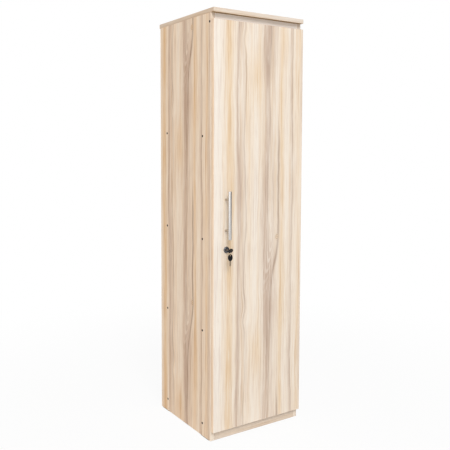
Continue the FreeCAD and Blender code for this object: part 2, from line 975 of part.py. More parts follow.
def hinge_arm(level):
    """Channel-shaped arm whose two cheeks reach into the cup and carry the arm pins."""
    inner_pin = inner_pivots(level)[0]
    outer_pin = outer_pivots(level)[0]
    ear = hinge_pin_diameter / 2 + arm_ear_margin
    near = inner_half - arm_near_face
    far = inner_half - arm_far_face
    tail = front_y + arm_length
    cheeks = []
    for low in (arm_wall_inside, -arm_wall_inside - arm_wall_thickness):
        high = low + arm_wall_thickness
        base = Z * (hinge_heights[level] + low)
        outline = [
            Vector(near, tail, 0) + base,
            Vector(far, tail, 0) + base,
            Vector(far, front_y + arm_web_start, 0) + base,
            Vector(outer_pin.x - ear, outer_pin.y, 0) + base,
            Vector(outer_pin.x + ear, outer_pin.y, 0) + base,
            Vector(inner_pin.x + ear, inner_pin.y, 0) + base,
            Vector(near, front_y + arm_web_start, 0) + base,
        ]
        eye = upright(outer_pin, ear, low, high)
        cheeks.append(prism(outline, Z * arm_wall_thickness).fuse(eye))
    reach = arm_wall_inside + arm_wall_thickness
    middle = hinge_heights[level]
    start = front_y + arm_web_start
    web = block(far - arm_web_thickness, far, start, tail, middle - reach, middle + reach)
    body = cheeks[0].fuse([cheeks[1], web]).removeSplitter()
    holes = arm_pins(level, screw_clearance) + [arm_screw(level, screw_clearance)]
    return one_solid(body.cut(holes))


def arm_screw(level, grow=0):
    """Screw that clamps the arm to its mounting plate."""
    face = inner_half - arm_far_face - arm_web_thickness
    length = arm_far_face + arm_web_thickness - arm_near_face + arm_screw_bite
    size = (arm_screw_head, arm_screw_head_height, arm_screw_shank, length)
    seat = hinge_point(face, front_y + arm_screw_setback, level)
    return aimed(round_screw(*size, grow=grow), seat, X)


def plate_screws(level, grow=0):
    """Two screws through a mounting plate's wings into the right side panel."""
    made = []
    length = hinge_screw_length + plate_wing_thickness
    size = (hinge_screw_head, hinge_screw_head_height, hinge_screw_shank, length)
    base = hinge_point(inner_half - plate_wing_thickness, front_y + plate_setback, level)
    for shift in (-1, 1):
        seat = base + Z * (shift * plate_screw_spread / 2)
        made.append(aimed(flush_screw(*size, grow=grow), seat, X))
    return made


def cup_screws(level, grow=0):
    """Two screws through a cup's flange into the door."""
    made = []
    base = hinge_point(cup_x - cup_screw_offset, door_rear_y + cup_flange_thickness, level)
    length = hinge_screw_length + cup_flange_thickness
    size = (hinge_screw_head, cup_flange_thickness, hinge_screw_shank, length)
    for shift in (-1, 1):
        seat = base + Z * (shift * cup_screw_spread / 2)
        made.append(aimed(flush_screw(*size, grow=grow), seat, -Y))
    return made


def rounded_plate(plate, along, corner):
    """Plate with the four edges that run along one direction rounded."""
    edges = []
    for edge in plate.Edges:
        way = edge.tangentAt(edge.FirstParameter)
        if abs(way.dot(along)) > parallel_share:
            edges.append(edge)
    return plate.makeFillet(corner, edges)


def hinge_plate(level):
    """Mounting plate: a raised body for the arm and two screwed wings."""
    middle = hinge_heights[level]
    setback = front_y + plate_setback
    half_wing = plate_wing_width / 2
    wing = block(
        inner_half - plate_wing_thickness,
        inner_half,
        setback - half_wing,
        setback + half_wing,
        middle - plate_wing_length / 2,
        middle + plate_wing_length / 2,
    )
    wing = rounded_plate(wing, X, plate_wing_corner)
    reach = arm_wall_inside + arm_wall_thickness
    half_body = plate_body_length / 2
    body = block(
        inner_half - arm_near_face,
        inner_half,
        setback - half_body,
        setback + half_body,
        middle - reach,
        middle + reach,
    )
    holes = plate_screws(level, screw_clearance) + [arm_screw(level, screw_clearance)]
    return one_solid(wing.fuse(body).removeSplitter().cut(holes))


def hinge_cup(level):
    """Sunk cup with its screwed flange, notched where the links and the arm's tip come out."""
    middle = hinge_heights[level]
    base = hinge_point(cup_x, door_rear_y, level)
    shell = Part.makeCylinder(cup_diameter / 2, cup_depth, base, -Y)
    flange = block(
        cup_x - cup_flange_width / 2,
        cup_x + cup_flange_width / 2,
        door_rear_y,
        door_rear_y + cup_flange_thickness,
        middle - cup_flange_length / 2,
        middle + cup_flange_length / 2,
    )
    flange = rounded_plate(flange, Y, cup_flange_corner)
    mouth = base + Y * (cup_flange_thickness + overrun)
    hollow_depth = cup_depth - cup_floor + cup_flange_thickness + overrun
    hollow = Part.makeCylinder(cup_diameter / 2 - cup_wall, hollow_depth, mouth, -Y)
    reach = cup_diameter / 2 + overrun
    half_notch = cup_notch_width / 2
    floor_y = door_rear_y - cup_depth + cup_floor
    ledge_y = door_rear_y - cup_notch_depth
    low = middle - half_notch
    high = middle + half_notch
    arm_notch = block(cup_x - reach, cup_x, floor_y, mouth.y, low, high)
    link_notch = block(cup_x, cup_x + reach, ledge_y, mouth.y, low, high)
    cuts = [hollow, arm_notch, link_notch]
    cuts += cup_pins(level, screw_clearance) + cup_screws(level, screw_clearance)
    return one_solid(shell.fuse(flange).removeSplitter().cut(cuts))


# Write every node

os.makedirs("parts", exist_ok=True)

for side, sign in sides():
    save("%s_side_panel" % side, side_panel(sign))
    save("%s_side_screws" % side, *side_screws(sign))
    save("%s_shelf_bearers" % side, *[bearer(sign, level) for level in bearer_levels])
    glide_front = front_y + glide_front_inset
    save("front_%s_glide" % side, foot_glide(sign, glide_front, glide_length))
    glide_rear = rear_y - glide_rear_inset - glide_length
    save("rear_%s_glide" % side, foot_glide(sign, glide_rear, glide_length))

save("top_panel", top_panel())
save("top_edging", *top_edging())
save("bottom_panel", bottom_panel())
save("plinth", plinth())
save("top_front_rail", top_front_rail())
save("back_panel", back_panel())
save("back_pins", *back_pins())
save("carcass_edging", *carcass_edging())
save("corner_blocks", *[corner_block(*place) for place in block_places()])
save("corner_block_screws", *all_block_screws())
for level in bearer_levels:
    save("%s_shelf" % level, shelf(level))
save("shelf_screws", *[screw for level in bearer_levels for screw in shelf_screws(level)])

save("door_panel", door_panel())
save("door_edging", *door_edging())
save("handle_bar", handle_bar())
save("handle_posts", *[handle_post(level) for level in handle_post_heights()])
save("handle_screws", *handle_screws())

save("lock_body", lock_body())
save("lock_nut", lock_nut())
save("lock_plug", lock_plug())
save("lock_cam", lock_cam())
save("cam_screw", cam_screw())
save("strike", strike())
save("strike_screws", *strike_screws())
for name, pieces in (("key", first_key()), ("spare_key", spare_key())):
    save("%s_blade" % name, pieces[0])
    save("%s_bow" % name, pieces[1])
save("key_ring", key_ring())

for level in hinge_heights:
    save("%s_hinge_plate" % level, hinge_plate(level))
    save("%s_hinge_arm" % level, hinge_arm(level))
    save("%s_hinge_inner_links" % level, *inner_links(level))
    save("%s_hinge_outer_link" % level, outer_link(level))
    save("%s_hinge_cup" % level, hinge_cup(level))
save("hinge_arm_pins", *[pin for level in hinge_heights for pin in arm_pins(level)])
save("hinge_cup_pins", *[pin for level in hinge_heights for pin in cup_pins(level)])
fixings = []
for level in hinge_heights:
    fixings += plate_screws(level) + [arm_screw(level)]
save("hinge_plate_screws", *fixings)
save("hinge_cup_screws", *[screw for level in hinge_heights for screw in cup_screws(level)])
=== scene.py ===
"""Looks of a tall single-door broom cupboard in printed wood board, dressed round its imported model."""
import logging
import math
from dataclasses import dataclass
from enum import Enum
from functools import reduce
from itertools import product
from typing import Callable, Optional, Sequence, Union

import bmesh
import bpy
from mathutils import Matrix, Vector


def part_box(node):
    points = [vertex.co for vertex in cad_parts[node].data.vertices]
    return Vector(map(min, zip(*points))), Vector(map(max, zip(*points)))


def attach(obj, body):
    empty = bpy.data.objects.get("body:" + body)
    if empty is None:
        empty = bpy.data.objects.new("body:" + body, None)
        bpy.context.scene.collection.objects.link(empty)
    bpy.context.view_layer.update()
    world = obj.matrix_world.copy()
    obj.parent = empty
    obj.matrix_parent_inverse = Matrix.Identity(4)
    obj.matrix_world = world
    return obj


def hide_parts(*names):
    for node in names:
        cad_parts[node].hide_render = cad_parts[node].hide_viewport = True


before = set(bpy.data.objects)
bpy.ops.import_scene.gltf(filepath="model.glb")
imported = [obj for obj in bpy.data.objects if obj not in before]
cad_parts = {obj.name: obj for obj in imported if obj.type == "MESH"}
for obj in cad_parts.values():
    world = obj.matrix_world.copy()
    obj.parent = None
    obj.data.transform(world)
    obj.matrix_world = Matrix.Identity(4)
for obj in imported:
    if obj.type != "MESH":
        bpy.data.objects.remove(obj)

LOG = logging.getLogger("broom_cupboard")
MM = 0.001
CLOSE = MM / 20  # places nearer than this count as one
FACING = 0.9  # share of a face's normal along a direction that it faces
LEVELS = ("lower", "middle", "upper")
CORNERS = ("front_left", "front_right", "rear_left", "rear_right")
HINGE_PIECES = ("plate", "arm", "inner_links", "outer_link", "cup")
SOCKET_KINDS = {"Place": "NodeSocketVector", "Colour": "NodeSocketColor"}
MIX_INPUTS = (0, 6, 7)  # the Mix node's share and its two colours
MIX_OUTPUT = 2
SEEN_RAYS = ("Camera", "Glossy", "Transmission")
BULK = (0.3, 0.7)  # readings between which most of a cloud lies
TEXTURES = ("Shade", "Matt", "Relief")  # what a fine texture gives
LINE_SHADE = 0.82  # of a metal's colour

Socket = bpy.types.NodeSocket
Sockets = bpy.types.bpy_prop_collection
Piece = bpy.types.Object
Value = Union[Socket, float, Sequence[float]]
Entries = dict[Union[int, str], Value]
Colour = tuple[float, float, float]
Place = tuple[float, float, float]
Ramp = tuple[float, float, float, float]
Choice = Callable[[Vector, Vector], bool]


def linear(*levels: int) -> Colour:
    """Turn a colour written in screen levels into linear light.

    Args:
        levels: Red, green and blue, from 0 to 255.

    Returns:
        The three linear components.
    """
    knee, slope, offset, power = 0.04045, 12.92, 0.055, 2.4
    shares = [level / 255 for level in levels]
    return tuple(
        share / slope if share <= knee else ((share + offset) / (1 + offset)) ** power for share in shares
    )


class Graph:
    """A node tree with short ways to add and join its nodes."""

    def __init__(self, tree: bpy.types.NodeTree) -> None:
        """Keep the tree."""
        self.tree = tree

    def add(self, kind: str, **settings: object) -> bpy.types.Node:
        """Add a node.

        Args:
            kind: Blender's name for the node type.
            settings: Properties to set on the node.

        Returns:
            The new node.
        """
        node = self.tree.nodes.new(kind)
        for name, value in settings.items():
            setattr(node, name, value)
        return node

    def feed(self, socket: Socket, value: Value) -> None:
        """Join a socket to its source, or set its value.

        Args:
            socket: The input that is fed.
            value: An output socket, or a constant.
        """
        if isinstance(value, Socket):
            self.tree.links.new(value, socket)
        elif isinstance(value, tuple) and len(value) == 3 and socket.type == "RGBA":
            socket.default_value = (*value, 1.0)
        else:
            socket.default_value = value

    def wire(self, node: bpy.types.Node, entries: Entries, output: Union[int, str] = 0) -> Socket:
        """Feed some of a node's inputs.

        Args:
            node: The node.
            entries: What the inputs get, by name or number.
            output: Name or number of the output that is wanted.

        Returns:
            That output.
        """
        for entry, value in entries.items():
            self.feed(node.inputs[entry], value)
        return node.outputs[output]

    def result(self, kind: str, *values: Value, **settings: object) -> Socket:
        """Add a node with some settings, feed its inputs in order and give its first output."""
        return self.wire(self.add(kind, **settings), dict(enumerate(values)))

    def math(self, operation: str, *values: Value) -> Socket:
        """Work out one value from others, by Blender's name for the sum."""
        return self.result("ShaderNodeMath", *values, operation=operation)

    def times(self, *factors: Value) -> Socket:
        """Multiply some values."""
        return reduce(lambda first, second: self.math("MULTIPLY", first, second), factors)

    def plus(self, first: Value, second: Value) -> Socket:
        """Add two values."""
        return self.math("ADD", first, second)

    def minus(self, first: Value, second: Value) -> Socket:
        """Take the second value from the first."""
        return self.math("SUBTRACT", first, second)

    def over(self, first: Value, second: Value) -> Socket:
        """Divide the first value by the second."""
        return self.math("DIVIDE", first, second)

    def squares(self, *sides: Value) -> Socket:
        """Add up the squares of some values."""
        return reduce(self.plus, [self.times(side, side) for side in sides])

    def length(self, *sides: Value) -> Socket:
        """Give the length of a way that has these sides."""
        return self.math("SQRT", self.squares(*sides))

    def fall(self, *sides: Value) -> Socket:
        """Fall from 1 in a bell curve along a way that has these sides."""
        return self.math("EXPONENT", self.times(self.squares(*sides), -1.0))

    def bell(self, value: Value, middle: float, spread: float) -> Socket:
        """Rise to 1 at a middle in a bell curve of some spread."""
        return self.fall(self.over(self.minus(value, middle), spread))

    def wave(self, value: Value, rate: float, ramp: Ramp) -> Socket:
        """Give a ramp's results for a value's sine at some rate."""
        return self.ease(self.math("SINE", self.times(value, rate)), ramp)

    def ease(self, value: Value, ramp: Ramp) -> Socket:
        """Pass smoothly between a ramp's last two entries as a value passes between its first two."""
        return self.result("ShaderNodeMapRange", value, *ramp, interpolation_type="SMOOTHSTEP")

    def mix(self, share: Value, first: Value, second: Value, blend: str = "MIX") -> Socket:
        """Mix two colours by a share of the second one, in one of Blender's ways."""
        node = self.add("ShaderNodeMix", data_type="RGBA", blend_type=blend)
        return self.wire(node, dict(zip(MIX_INPUTS, (share, first, second))), MIX_OUTPUT)

    def noise(self, place: Value, scale: Value, detail: float = 2.0, roughness: float = 0.5) -> Socket:
        """Give cloudy values from 0 to 1 at a place, with finer layers of some strength."""
        entries = {"Vector": place, "Scale": scale, "Detail": detail, "Roughness": roughness}
        return self.wire(self.add("ShaderNodeTexNoise"), entries)

    def bump(self, height: Value, strength: float, distance: float) -> Socket:
        """Turn a height into a normal, with a share of its effect and a depth in metres."""
        entries = {"Strength": strength, "Distance": distance, "Height": height}
        return self.wire(self.add("ShaderNodeBump"), entries)

    def here(self) -> Socket:
        """Give the place on the object."""
        return self.add("ShaderNodeTexCoord").outputs["Object"]


def new_group(name: str, inputs: Sequence[str], outputs: Sequence[str]) -> tuple[Graph, Sockets, Sockets]:
    """Start a shader node group, whose sockets are values but for a place and a colour.

    Args:
        name: The group's name.
        inputs, outputs: Names of its inputs and outputs.

    Returns:
        The group's graph, the sockets that give its inputs and those that take its outputs.
    """
    tree = bpy.data.node_groups.new(name, "ShaderNodeTree")
    for way, entries in (("INPUT", inputs), ("OUTPUT", outputs)):
        for entry in entries:
            kind = SOCKET_KINDS.get(entry, "NodeSocketFloat")
            tree.interface.new_socket(name=entry, in_out=way, socket_type=kind)
    graph = Graph(tree)
    return graph, graph.add("NodeGroupInput").outputs, graph.add("NodeGroupOutput").inputs


def new_material(name: str) -> tuple[bpy.types.Material, Graph, bpy.types.Node]:
    """Start a material.

    Args:
        name: The material's name.

    Returns:
        The material, its graph and its Principled shader.
    """
    material = bpy.data.materials.new(name)
    material.use_nodes = True
    return material, Graph(material.node_tree), material.node_tree.nodes["Principled BSDF"]


class Tint(Enum):
    """Colours of the printed wood, in linear light."""

    CREAM = linear(240, 224, 204)
    PALE = linear(245, 236, 224)
    PEACH = linear(232, 205, 170)
    GREIGE = linear(205, 182, 163)
    BROWN = linear(172, 146, 127)


@dataclass(frozen=True)
class Streak:
    """One long streak of the print, with its places measured across the sheet from its knot, in mm."""

    centre: float
    spread: float
    tint: Tint
    strength: float
    sway: float = 0.0
    turns: float = 1.0
    phase: float = 0.0
    lean: float = 1.0

    def entries(self) -> dict[str, float]:
        """Give the streak's own inputs of its node group."""
        lengths = {"Centre": self.centre * MM, "Spread": self.spread * MM, "Sway": self.sway * MM}
        shares = {"Turns": self.turns, "Phase": self.phase, "Strength": self.strength, "Lean": self.lean}
        return {**lengths, **shares}


@dataclass(frozen=True)
class Spot:
    """A place on the print and its reach, measured from the knot, in mm."""

    across: float
    along: float
    half_width: float
    half_length: float


@dataclass(frozen=True)
class Patch(Spot):
    """A cloudy patch of one tint."""

    tint: Tint
    strength: float


@dataclass(frozen=True)
class Kink(Spot):
    """A place where the streaks step aside."""

    step: float


@dataclass(frozen=True)
class Cloud:
    """A stretched cloud of the print: clouds per metre, finer layers, and a shift that sets it apart."""

    across: float
    along: float
    detail: float
    shift: float


@dataclass(frozen=True)
class HeartLine:
    """The dark line that runs down to the knot and swings aside below it, in metres from the knot."""

    swing: float = -0.046
    swing_end: float = -0.26
    middle: float = 0.005
    spread: float = 0.0056
    upper_fade: Ramp = (0.56, 0.35, 0.0, 0.76)
    lower_fade: Ramp = (-0.5, -0.3, 0.0, 1.0)
    band_right: Ramp = (0.008, 0.002, 0.0, 1.0)
    band_left: Ramp = (-0.036, -0.016, 0.0, 1.0)
    band_start: Ramp = (-0.06, -0.2, 0.0, 0.75)
    band_end: Ramp = (-0.55, -0.3, 0.0, 1.0)
    arc_offset: float = 0.03
    arc_squeeze: float = 0.16
    arc_rate: float = 860.0
    arc_ramp: Ramp = (-0.2, 0.9, 0.0, 0.5)
    arcs_across: tuple[float, float] = (-0.034, 0.026)
    arcs_along: tuple[float, float] = (-0.06, 0.15)
    knot_squeeze: float = 0.8
    knot_fill: Ramp = (0.006, 0.014, 0.6, 0.0)
    ring_rate: float = 1050.0
    ring_ramp: Ramp = (0.1, 0.9, 0.0, 0.75)
    ring_fade: Ramp = (0.007, 0.016, 1.0, 0.0)

    def draw(self, graph: Graph, across: Value, local: Value, colour: Value) -> Socket:
        """Draw the line, the band and arcs beside it, and the knot.

        Args:
            graph: The print's graph.
            across, local: Places across the sheet and along one repeat, from the knot.
            colour: The colour under the line.

        Returns:
            The colour with the line and the knot.
        """
        away = graph.minus(across, graph.ease(local, (0.0, self.swing_end, 0.0, self.swing)))
        fades = [graph.ease(local, ramp) for ramp in (self.upper_fade, self.lower_fade)]
        line = graph.times(graph.bell(away, self.middle, self.spread), *fades)
        colour = graph.mix(line, colour, Tint.BROWN.value)
        sides = [graph.ease(away, ramp) for ramp in (self.band_right, self.band_left)]
        ends = [graph.ease(local, ramp) for ramp in (self.band_start, self.band_end)]
        colour = graph.mix(graph.times(*sides, *ends), colour, Tint.GREIGE.value)
        bow = graph.length(graph.plus(away, self.arc_offset), graph.times(local, self.arc_squeeze))
        arcs = graph.wave(bow, self.arc_rate, self.arc_ramp)
        region = graph.times(graph.bell(away, *self.arcs_across), graph.bell(local, *self.arcs_along))
        colour = graph.mix(graph.times(arcs, region), colour, Tint.PALE.value)
        reach = graph.length(away, graph.times(local, self.knot_squeeze))
        colour = graph.mix(graph.ease(reach, self.knot_fill), colour, Tint.PEACH.value)
        rings = graph.wave(reach, self.ring_rate, self.ring_ramp)
        return graph.mix(graph.times(rings, graph.ease(reach, self.ring_fade)), colour, Tint.BROWN.value)


@dataclass(frozen=True)
class WoodPrint:
    """The wood print that all the boards share, which repeats along its length."""

    repeat: float = 1.18
    sweep: float = 0.008
    wobble: float = 0.005
    dark_line: Colour = (0.90, 0.86, 0.84)
    heart: HeartLine = HeartLine()
    cloud_roughness: float = 0.55
    sweep_cloud: Cloud = Cloud(5.0, 2.2, 1.0, 1.0)
    wobble_cloud: Cloud = Cloud(22.0, 9.0, 2.0, 2.0)
    broad_cloud: Cloud = Cloud(55.0, 1.0, 3.0, 4.0)
    line_cloud: Cloud = Cloud(190.0, 2.6, 4.0, 7.0)
    fleck_cloud: Cloud = Cloud(140.0, 7.0, 3.0, 15.0)
    fibre_cloud: Cloud = Cloud(900.0, 14.0, 2.0, 9.0)
    fade_cloud: Cloud = Cloud(30.0, 2.4, 2.0, 12.0)
    pale_broad: Ramp = (0.35, 0.65, 0.0, 0.4)
    peach_broad: Ramp = (0.5, 0.3, 0.0, 0.45)
    cloud_fade: Ramp = (0.3, 0.6, 0.7, 1.1)
    line_fade: Ramp = (0.3, 0.7, 0.8, 1.25)
    dark_lines: Ramp = (0.5, 0.66, 0.0, 1.0)
    pale_lines: Ramp = (0.47, 0.32, 0.0, 0.4)
    dark_flecks: Ramp = (0.5, 0.72, 0.0, 0.7)
    pale_flecks: Ramp = (0.48, 0.3, 0.0, 0.4)
    dark_fibre: Ramp = (0.5, 0.75, 0.0, 0.8)
    streaks: tuple[Streak, ...] = (
        Streak(-310, 26, Tint.PALE, 0.9),
        Streak(-250, 18, Tint.PEACH, 1.0, 4, 1, 0.6),
        Streak(-208, 10, Tint.GREIGE, 0.8, 3, 1, 2.0, 0.75),
        Streak(-172, 3.0, Tint.BROWN, 0.42, 5, 2, 0.8, 1.4),
        Streak(-182, 13, Tint.GREIGE, 0.25, 4, 2, 0.8),
        Streak(-146, 9, Tint.PEACH, 0.3, 4, 1, 2.6),
        Streak(-122, 15, Tint.PALE, 0.4),
        Streak(-58, 18, Tint.GREIGE, 0.8, 5, 1, -2.0, 1.2),
        Streak(-47, 5, Tint.BROWN, 0.25, 5, 2, 2.4, 1.4),
        Streak(-22, 18, Tint.GREIGE, 0.3, 3, 1, 3.0),
        Streak(22, 9, Tint.PEACH, 0.75, 3, 1, 1.4),
        Streak(52, 13, Tint.PALE, 0.35),
        Streak(82, 3.2, Tint.BROWN, 0.5, 2, 1, 0.2, 1.3),
        Streak(76, 9, Tint.GREIGE, 0.45, 4, 1, 0.2),
        Streak(118, 11, Tint.PEACH, 0.55, 3, 1, 2.0),
        Streak(140, 9, Tint.GREIGE, 0.55, 3, 1, 1.0),
        Streak(160, 20, Tint.PALE, 0.4),
    )
    patches: tuple[Patch, ...] = (
        Patch(-45, -190, 32, 190, Tint.GREIGE, 0.6),
        Patch(-52, -430, 22, 70, Tint.BROWN, 0.4),
        Patch(-110, -500, 30, 110, Tint.PEACH, 0.7),
        Patch(30, -260, 20, 190, Tint.PEACH, 0.5),
        Patch(-120, 120, 30, 260, Tint.PALE, 0.3),
        Patch(-195, 240, 16, 200, Tint.GREIGE, 0.4),
        Patch(-152, -345, 7, 60, Tint.PALE, 0.5),
    )
    kinks: tuple[Kink, ...] = (
        Kink(-172, -285, 26, 48, 8.0),
        Kink(-170, -350, 24, 32, -9.0),
        Kink(-148, -345, 12, 22, 6.0),
    )

    def streak_group(self) -> bpy.types.NodeTree:
        """Make the group that gives one streak's mask.

        Returns:
            The group.
        """
        names = ("Across", "Angle", "Centre", "Spread", "Sway", "Turns", "Phase", "Strength", "Lean")
        graph, read, outlet = new_group("wood_streak", names, ("Mask",))
        turn = graph.plus(graph.times(read["Angle"], read["Turns"]), read["Phase"])
        line = graph.plus(read["Centre"], graph.times(graph.math("SINE", turn), read["Sway"]))
        away = graph.over(graph.minus(read["Across"], line), read["Spread"])
        crisp = graph.times(away, read["Lean"])
        soft = graph.times(graph.over(away, read["Lean"]), -1.0)
        fall = graph.fall(graph.math("MAXIMUM", crisp, soft))
        graph.feed(outlet["Mask"], graph.times(fall, read["Strength"]))
        return graph.tree

    def print_group(self) -> bpy.types.NodeTree:
        """Make the group that gives the print's colour and its fine fibre.

        Returns:
            The group.
        """
        graph, read, outlet = new_group("wood_print", ("Across", "Along"), ("Colour", "Fibre"))
        across, along = read["Across"], read["Along"]
        local = self.wrapped(graph, along)
        angle = graph.times(along, 2 * math.pi / self.repeat)

        def texture(side: Value, cloud: Cloud) -> Socket:
            """Read a cloud at a place across the sheet."""
            sides = graph.times(side, cloud.across), graph.times(along, cloud.along), cloud.shift
            place = graph.result("ShaderNodeCombineXYZ", *sides)
            return graph.noise(place, 1.0, cloud.detail, self.cloud_roughness)

        def shifted(side: Value, cloud: Cloud, reach: float) -> Socket:
            """Move a place aside by up to a reach either way."""
            return graph.plus(side, graph.times(graph.minus(texture(across, cloud), 0.5), reach * 2))

        waved = shifted(across, self.sweep_cloud, self.sweep)
        waved = shifted(waved, self.wobble_cloud, self.wobble)
        for kink in self.kinks:
            waved = graph.minus(waved, graph.times(self.spot_mask(graph, waved, local, kink), kink.step * MM))
        clouds = (self.broad_cloud, self.line_cloud, self.fleck_cloud, self.fibre_cloud)
        broad, lines, flecks, fibre = (texture(waved, cloud) for cloud in clouds)

        colour = graph.mix(graph.ease(broad, self.pale_broad), Tint.CREAM.value, Tint.PALE.value)
        colour = graph.mix(graph.ease(broad, self.peach_broad), colour, Tint.PEACH.value)
        fade = graph.ease(texture(waved, self.fade_cloud), self.cloud_fade)
        fade = graph.times(fade, graph.ease(lines, self.line_fade))
        streak_tree = self.streak_group()
        for streak in self.streaks:
            node = graph.add("ShaderNodeGroup", node_tree=streak_tree)
            mask = graph.wire(node, {"Across": waved, "Angle": angle, **streak.entries()})
            share = graph.math("MINIMUM", graph.times(mask, fade), 1.0)
            colour = graph.mix(share, colour, streak.tint.value)
        for patch in self.patches:
            share = graph.times(self.spot_mask(graph, waved, local, patch), patch.strength, fade)
            colour = graph.mix(share, colour, patch.tint.value)
        colour = self.heart.draw(graph, waved, local, colour)
        marks = (lines, self.dark_lines, self.pale_lines), (flecks, self.dark_flecks, self.pale_flecks)
        for mark, dark, pale in marks:
            colour = graph.mix(graph.ease(mark, dark), colour, self.dark_line, "MULTIPLY")
            colour = graph.mix(graph.ease(mark, pale), colour, Tint.PALE.value)
        colour = graph.mix(graph.ease(fibre, self.dark_fibre), colour, self.dark_line, "MULTIPLY")
        graph.feed(outlet["Colour"], colour)
        graph.feed(outlet["Fibre"], fibre)
        return graph.tree

    def wrapped(self, graph: Graph, along: Value) -> Socket:
        """Bring a place along the sheet into one repeat, half of it on either side."""
        return graph.math("WRAP", along, self.repeat / 2, -self.repeat / 2)

    def spot_mask(self, graph: Graph, across: Value, local: Value, spot: Spot) -> Socket:
        """Give the soft mask of one patch or kink.

        Args:
            graph: The print's graph.
            across, local: Places across the sheet and along one repeat, from the knot.
            spot: The patch or kink.

        Returns:
            The mask's socket.
        """
        aside = graph.over(graph.minus(across, spot.across * MM), spot.half_width * MM)
        ahead = self.wrapped(graph, graph.minus(local, spot.along * MM))
        return graph.fall(aside, graph.over(ahead, spot.half_length * MM))


class Axis(Enum):
    """Directions of the row's frame."""

    X = 0
    Y = 1
    Z = 2


@dataclass(frozen=True)
class WoodFinish:
    """Printed board, with the way its print lies: across and along axes, and where the knot falls."""

    name: str
    across: Axis
    along: Axis
    across_at: float
    along_at: float
    tone: Colour = (1.0, 1.0, 1.0)
    across_sign: float = 1.0
    depth: float = 1.0
    # Painted shade: faces at this height and below, such as the top's underside, take two dark browns that
    # stand in for the shade under the overhang.
    painted_shade_below: Optional[float] = None
    painted_shade_edge: tuple[float, float] = (0.0003, 0.0006)
    painted_shade_colours: tuple[Colour, Colour] = (linear(140, 106, 52), linear(160, 124, 66))
    roughness: Ramp = (*BULK, 0.44, 0.56)
    relief_share: float = 0.25
    relief: float = 0.00006
    gloss: float = 0.35

    def make(self, tree: bpy.types.NodeTree) -> bpy.types.Material:
        """Make the material.

        Args:
            tree: The wood print's node group.

        Returns:
            The material.
        """
        material, graph, shader = new_material(self.name)
        place = graph.add("ShaderNodeSeparateXYZ")
        graph.feed(place.inputs[0], graph.here())
        across = graph.minus(place.outputs[self.across.value], self.across_at)
        along = graph.minus(place.outputs[self.along.value], self.along_at)
        printed = graph.add("ShaderNodeGroup", node_tree=tree)
        graph.wire(printed, {"Across": graph.times(across, self.across_sign), "Along": along})
        fibre = printed.outputs["Fibre"]
        deepened = graph.result("ShaderNodeGamma", printed.outputs["Colour"], self.depth)
        colour = graph.mix(1.0, deepened, self.tone, "MULTIPLY")
        # Painted shade under the top, mixed in below the given height.
        if self.painted_shade_below is not None:
            start, end = (self.painted_shade_below + edge for edge in self.painted_shade_edge)
            under = graph.ease(place.outputs[Axis.Z.value], (start, end, 1.0, 0.0))
            colour = graph.mix(under, colour, graph.mix(fibre, *self.painted_shade_colours))
        looks = {
            "Base Color": colour,
            "Roughness": graph.ease(fibre, self.roughness),
            "Normal": graph.bump(fibre, self.relief_share, self.relief),
            "Specular IOR Level": self.gloss,
        }
        graph.wire(shader, looks)
        return material


@dataclass(frozen=True)
class PlainFinish:
    """Moulded plastic or plain board with a fine skin, in a colour that passes into a shade."""

    name: str
    colour: Colour
    shade: Colour
    roughness: float
    grain: Place = (2600.0, 2600.0, 2600.0)
    relief: float = 0.00003
    relief_share: float = 0.3
    unevenness: float = 0.06
    gloss: float = 0.5
    metallic: float = 0.0

    def make(self, tree: bpy.types.NodeTree) -> bpy.types.Material:
        """Make the material.

        Args:
            tree: The group that gives the fine texture.

        Returns:
            The material.
        """
        material, graph, shader = new_material(self.name)
        place = graph.result("ShaderNodeVectorMath", graph.here(), self.grain, operation="MULTIPLY")
        texture = graph.add("ShaderNodeGroup", node_tree=tree)
        graph.wire(texture, {"Place": place})
        shade, matt, relief = (texture.outputs[name] for name in TEXTURES)
        ramp = (*BULK, self.roughness - self.unevenness, self.roughness + self.unevenness)
        looks = {
            "Base Color": graph.mix(shade, self.colour, self.shade),
            "Roughness": graph.ease(matt, ramp),
            "Normal": graph.bump(relief, self.relief_share, self.relief),
            "Specular IOR Level": self.gloss,
            "Metallic": self.metallic,
        }
        graph.wire(shader, looks)
        return material


def skin_group() -> bpy.types.NodeTree:
    """Make the group that gives a moulded skin and a faint cloud.

    Returns:
        The group.
    """
    cloud_scale, cloud_detail, cloud_roughness = 0.1, 3.0, 0.6
    cloud_ramp = (0.35, 0.65, 0.0, 1.0)
    graph, read, outlet = new_group("moulded_skin", ("Place",), TEXTURES)
    skin = graph.noise(read["Place"], 1.0)
    cloud = graph.noise(read["Place"], cloud_scale, cloud_detail, cloud_roughness)
    for name, value in zip(TEXTURES, (graph.ease(cloud, cloud_ramp), skin, skin)):
        graph.feed(outlet[name], value)
    return graph.tree


@dataclass(frozen=True)
class MetalFinish(PlainFinish):
    """Plated or brushed metal with fine lines along one direction."""

    grain: Place = (1800.0, 1800.0, 1800.0)
    relief: float = 0.00002
    unevenness: float = 0.08
    metallic: float = 1.0


def metal(name: str, colour: Colour, roughness: float, **changes: object) -> MetalFinish:
    """Give a metal's finish, with lines that are darker than its colour."""
    return MetalFinish(name, colour, tuple(LINE_SHADE * part for part in colour), roughness, **changes)


def line_group() -> bpy.types.NodeTree:
    """Make the group that gives fine lines and a faint cloud to metals.

    Returns:
        The group.
    """
    line_detail, line_roughness, cloud_scale = 3.0, 0.6, 0.06
    line_ramp = (0.25, 0.7, 0.0, 1.0)
    graph, read, outlet = new_group("fine_lines", ("Place",), TEXTURES)
    lines = graph.ease(graph.noise(read["Place"], 1.0, line_detail, line_roughness), line_ramp)
    cloud = graph.noise(read["Place"], cloud_scale)
    for name, value in zip(TEXTURES, (graph.minus(1.0, lines), cloud, lines)):
        graph.feed(outlet[name], value)
    return graph.tree
